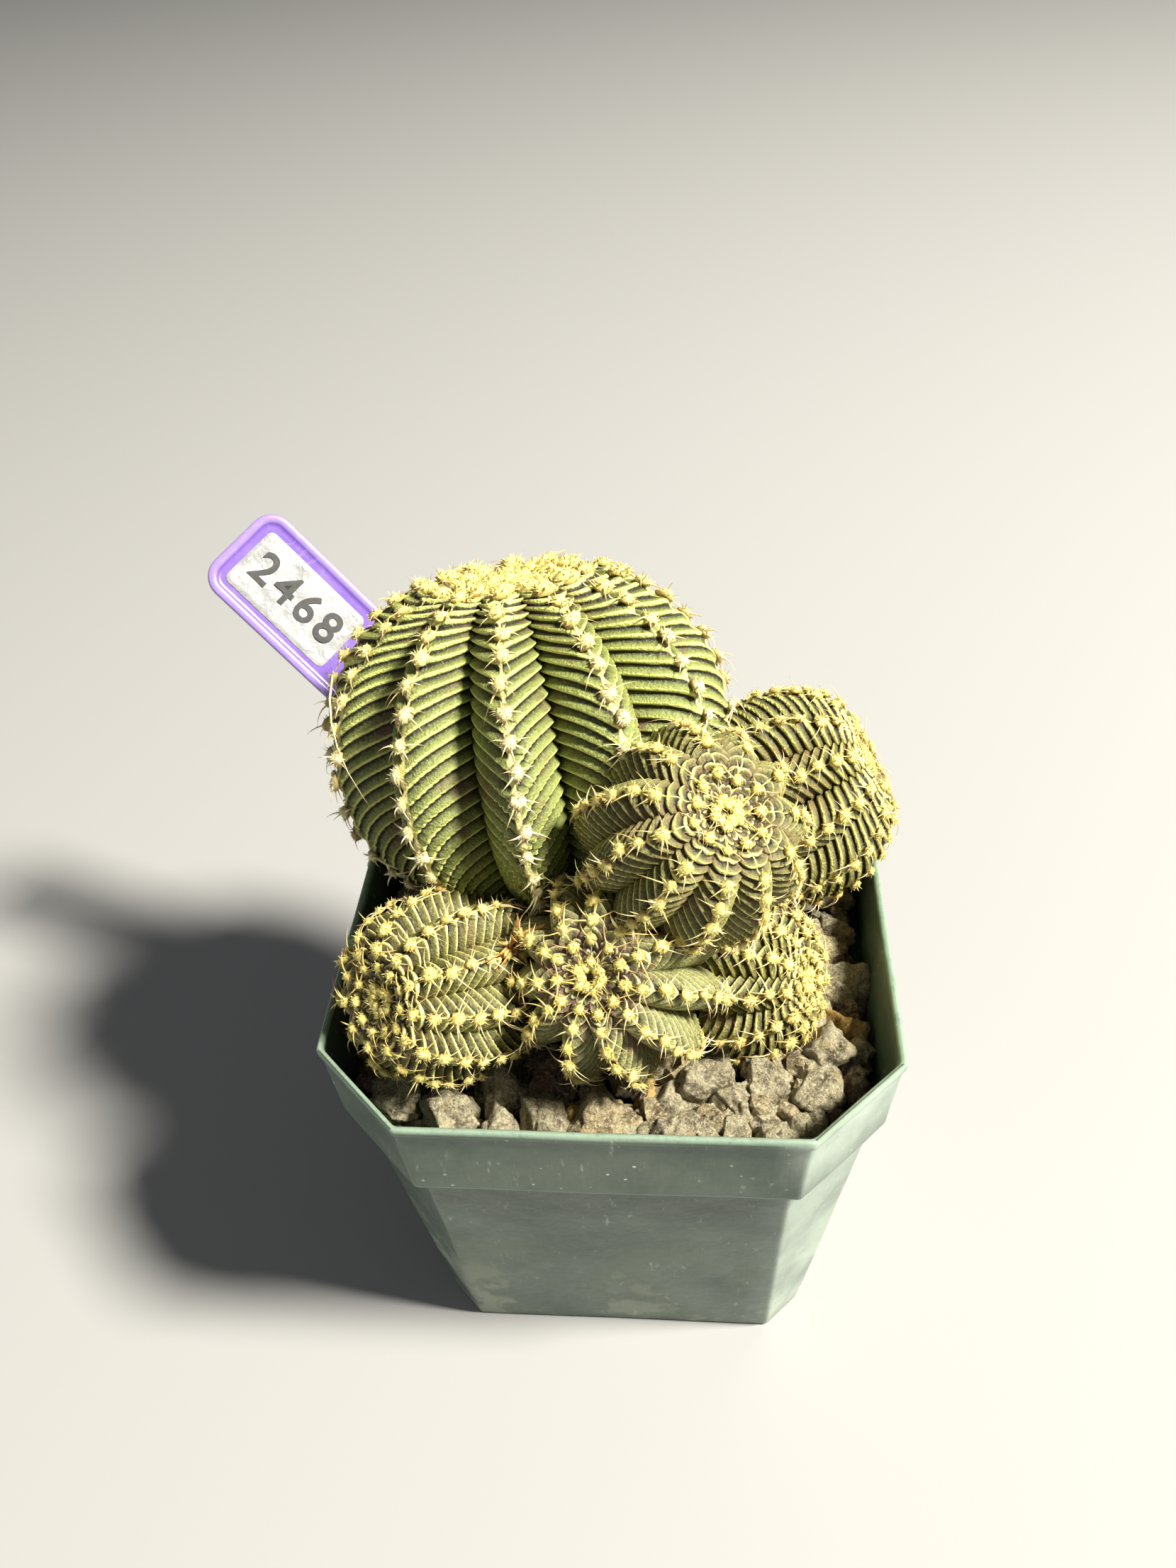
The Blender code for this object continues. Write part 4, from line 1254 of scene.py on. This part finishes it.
# %% Label materials
def label_material():
    n = Nodes("label_look", Roughness=0.28)
    n.shader.inputs["Coat Weight"].default_value = 0.35
    n.shader.inputs["Coat Roughness"].default_value = 0.12
    n.shader.inputs["Subsurface Weight"].default_value = 0.15
    n.shader.inputs["Subsurface Radius"].default_value = (0.0008, 0.0005, 0.0014)
    n.shader.inputs["Subsurface Scale"].default_value = 1.0
    cloud = n.noise(0.008, detail=3.0)
    waves = n.noise(0.011, detail=2.0, distortion=1.2)
    crease = n.ramp(n.math("ABSOLUTE", n.math("SUBTRACT", waves, 0.5)), 0.006, 0.001)
    colour = n.mix(n.ramp(cloud, 0.3, 0.7), (0.165, 0.090, 0.400), (0.205, 0.120, 0.475))
    colour = n.mix(n.math("MULTIPLY", crease, 0.12), colour, (0.75, 0.66, 0.95))
    # Painted highlight: the raised border is painted a paler purple.
    colour = n.mix(n.math("MULTIPLY", n.value("border"), 0.40), colour, (0.45, 0.35, 0.70))
    n.set("Base Color", colour)
    return n.bump((n.noise(0.003, detail=3.0), 0.00008))


def tape_material():
    n = Nodes("tape_look", Roughness=0.38)
    n.shader.inputs["Coat Weight"].default_value = 0.30
    n.shader.inputs["Coat Roughness"].default_value = 0.25
    cloud = n.noise(0.0045, detail=4.0, roughness=0.6)
    wrinkle = n.noise(0.0022, detail=3.0, distortion=1.5)
    fold = n.ramp(n.math("ABSOLUTE", n.math("SUBTRACT", wrinkle, 0.5)), 0.012, 0.002)
    colour = n.mix(n.ramp(cloud, 0.3, 0.7), (0.28, 0.285, 0.285), (0.39, 0.395, 0.39))
    colour = n.mix(n.math("MULTIPLY", fold, 0.30), colour, (0.62, 0.63, 0.62))
    n.set("Base Color", colour)
    n.set("Roughness", n.ramp(cloud, 0.3, 0.7, 0.30, 0.50))
    return n.bump((wrinkle, 0.00022))


def ink_material():
    n = Nodes("ink_look", Roughness=0.45)
    worn = n.ramp(n.noise(0.0007), 0.4, 0.8)
    n.set("Base Color", n.mix(worn, (0.010, 0.010, 0.011), (0.035, 0.034, 0.033)))
    return n.material


# %% Label shape
def build_stake():
    """Outlines from the back, round the edge, over the raised border and down to the recessed face."""
    half = LABEL_THICK / 2
    steps = [
        (1.6, -1.0), (0.35, -1.0), (0.08, -0.86), (0.0, -0.5), (0.0, 0.45), (0.08, 0.82), (0.32, 1.0),
        (0.95, 1.0), (1.22, 0.88), (1.42, 0.6), (1.62, 0.42), (2.0, 0.4),
    ]
    rings = []
    border = []
    for inset, level in steps:
        a, b = stake_outline(inset * MM)
        rings.append(on_label(a, b, level * half))
        # The raised border's outer rings carry the mask of its painted highlight.
        border.append(np.full(len(a), 1.0 if 0.0 <= inset < 1.3 and level > 0 else 0.0))
    points, faces = cap_stack(rings)
    ends = np.concatenate([[0], np.concatenate(border), [0]])
    make_piece(
        "label_stake_moulded", points, faces, label_material(), "stake_plastic", ["label_stake"], border=ends
    )
    return half


def tape_sheet(proud):
    """A grid over the tape, its corners rounded by squeezing, lifted by slow wrinkles."""
    points = node_points("label_tape") - LABEL_TOP
    a, b = points @ LABEL_ACROSS, -(points @ LABEL_ALONG)
    across, below = np.meshgrid(np.linspace(-1, 1, 60), np.linspace(-1, 1, 130))
    half_a, half_b = np.ptp(a) / 2, np.ptp(b) / 2
    corner = 1.1 * MM
    over = np.clip((np.abs(below) * half_b - (half_b - corner)) / corner, 0, 1)
    trim = corner * (1 - np.sqrt(np.clip(1 - over ** 2, 0, 1)))
    flat_a = a.mean() + across * (half_a - trim)
    flat_b = b.mean() + below * half_b
    lift = 0.10 * MM * lattice_noise(np.stack([flat_a, flat_b, 0 * flat_a], -1), 2.6 * MM, 41)
    lift += 0.05 * MM * lattice_noise(np.stack([flat_a, flat_b, 0 * flat_a], -1), 1.1 * MM, 42)
    edge = smooth_step(1.0, 0.86, np.abs(across)) * smooth_step(1.0, 0.94, np.abs(below))
    level = proud + (0.16 * MM + lift) * edge
    return on_label(flat_a, flat_b, level), (a.mean(), b.mean())


def build_tape(face):
    grid, middle = tape_sheet(face * 0.45)
    rows, cols = grid.shape[:2]
    index = np.arange(rows * cols).reshape(rows, cols)
    quads = np.stack([index[:-1, :-1], index[1:, :-1], index[1:, 1:], index[:-1, 1:]], -1).reshape(-1, 4)
    points = grid.reshape(-1, 3)
    normal = np.cross(points[quads[0][1]] - points[quads[0][0]], points[quads[0][3]] - points[quads[0][0]])
    if normal @ LABEL_FRONT < 0:
        quads = quads[:, ::-1]
    tape = make_piece("label_tape_print", points, quads, tape_material(), "tape", ["label_tape"])
    thick = tape.modifiers.new("thickness", "SOLIDIFY")
    thick.thickness = 0.12 * MM
    thick.offset = -1
    return middle


def build_number(text, middle, face):
    """Digits in the plane of the tape, reading from the stake's top end downwards."""
    curve = bpy.data.curves.new("digits", "FONT")
    curve.body = text
    curve.size = 7.2 * MM
    curve.offset = 0.11 * MM
    curve.extrude = 0.03 * MM
    curve.space_character = 1.20
    curve.align_x = "CENTER"
    curve.align_y = "CENTER"
    typed = bpy.data.objects.new("digits", curve)
    bpy.context.scene.collection.objects.link(typed)
    bpy.context.view_layer.update()
    mesh = bpy.data.meshes.new_from_object(typed.evaluated_get(bpy.context.evaluated_depsgraph_get()))
    flat = np.empty(len(mesh.vertices) * 3, np.float32)
    mesh.vertices.foreach_get("co", flat)
    flat = flat.reshape(-1, 3).astype(float)
    below = middle[1] + flat[:, 0]
    points = on_label(flat[:, 1] + middle[0], below, face * 0.45 + 0.26 * MM + flat[:, 2])
    faces = [list(p.vertices) for p in mesh.polygons]
    bpy.data.objects.remove(typed)
    make_piece("label_number", points, faces, ink_material(), "tape", smooth=False)


stake_face = build_stake()
tape_middle = build_tape(stake_face)
build_number("2468", tape_middle, stake_face)
print(f"label: {LABEL_LENGTH / MM:.1f} x {LABEL_WIDTH / MM:.1f} x {LABEL_THICK / MM:.1f} mm")

# %% [markdown]
# ## Floor, light and finish
#
# A plain light floor keeps the eye on the plant, and what is seen beyond it is the grey world. One soft
# light stands high to the right, so every rib has a bright and a dark flank, and a weak one on the left
# keeps the shadows open.

# %% Stage
def studio_floor():
    n = Nodes("floor", Roughness=0.85)
    n.set("Base Color", (0.36, 0.36, 0.355))
    size = 3.0
    mesh = bpy.data.meshes.new("floor")
    corners = [(-size, -size, 0), (size, -size, 0), (size, size, 0), (-size, size, 0)]
    mesh.from_pydata(corners, [], [(0, 1, 2, 3)])
    mesh.materials.append(n.material)
    floor = bpy.data.objects.new("floor", mesh)
    floor.location.z = -0.0002
    bpy.context.scene.collection.objects.link(floor)


def soft_light(name, place, aim, size, watts, colour=(1.0, 1.0, 1.0)):
    light = bpy.data.lights.new(name, "AREA")
    light.shape = "DISK"
    light.size = size
    light.energy = watts
    light.color = colour
    lamp = bpy.data.objects.new(name, light)
    direction = Vector(aim) - Vector(place)
    lamp.matrix_world = Matrix.Translation(place) @ direction.to_track_quat("-Z", "Y").to_matrix().to_4x4()
    bpy.context.scene.collection.objects.link(lamp)


studio_floor()
PLANT = (0.0, 0.0, 0.07)
soft_light("key", (0.98, -0.24, 1.28), PLANT, 0.30, 80.0, (1.0, 0.96, 0.86))
soft_light("fill", (-0.40, -0.50, 0.40), PLANT, 0.45, 0.35, (0.93, 0.96, 1.0))

world = bpy.data.worlds.new("studio")
world.use_nodes = True
world.node_tree.nodes["Background"].inputs["Color"].default_value = (0.95, 0.96, 1.0, 1.0)
world.node_tree.nodes["Background"].inputs["Strength"].default_value = 0.13
bpy.context.scene.world = world
bpy.context.scene.view_settings.view_transform = "Standard"
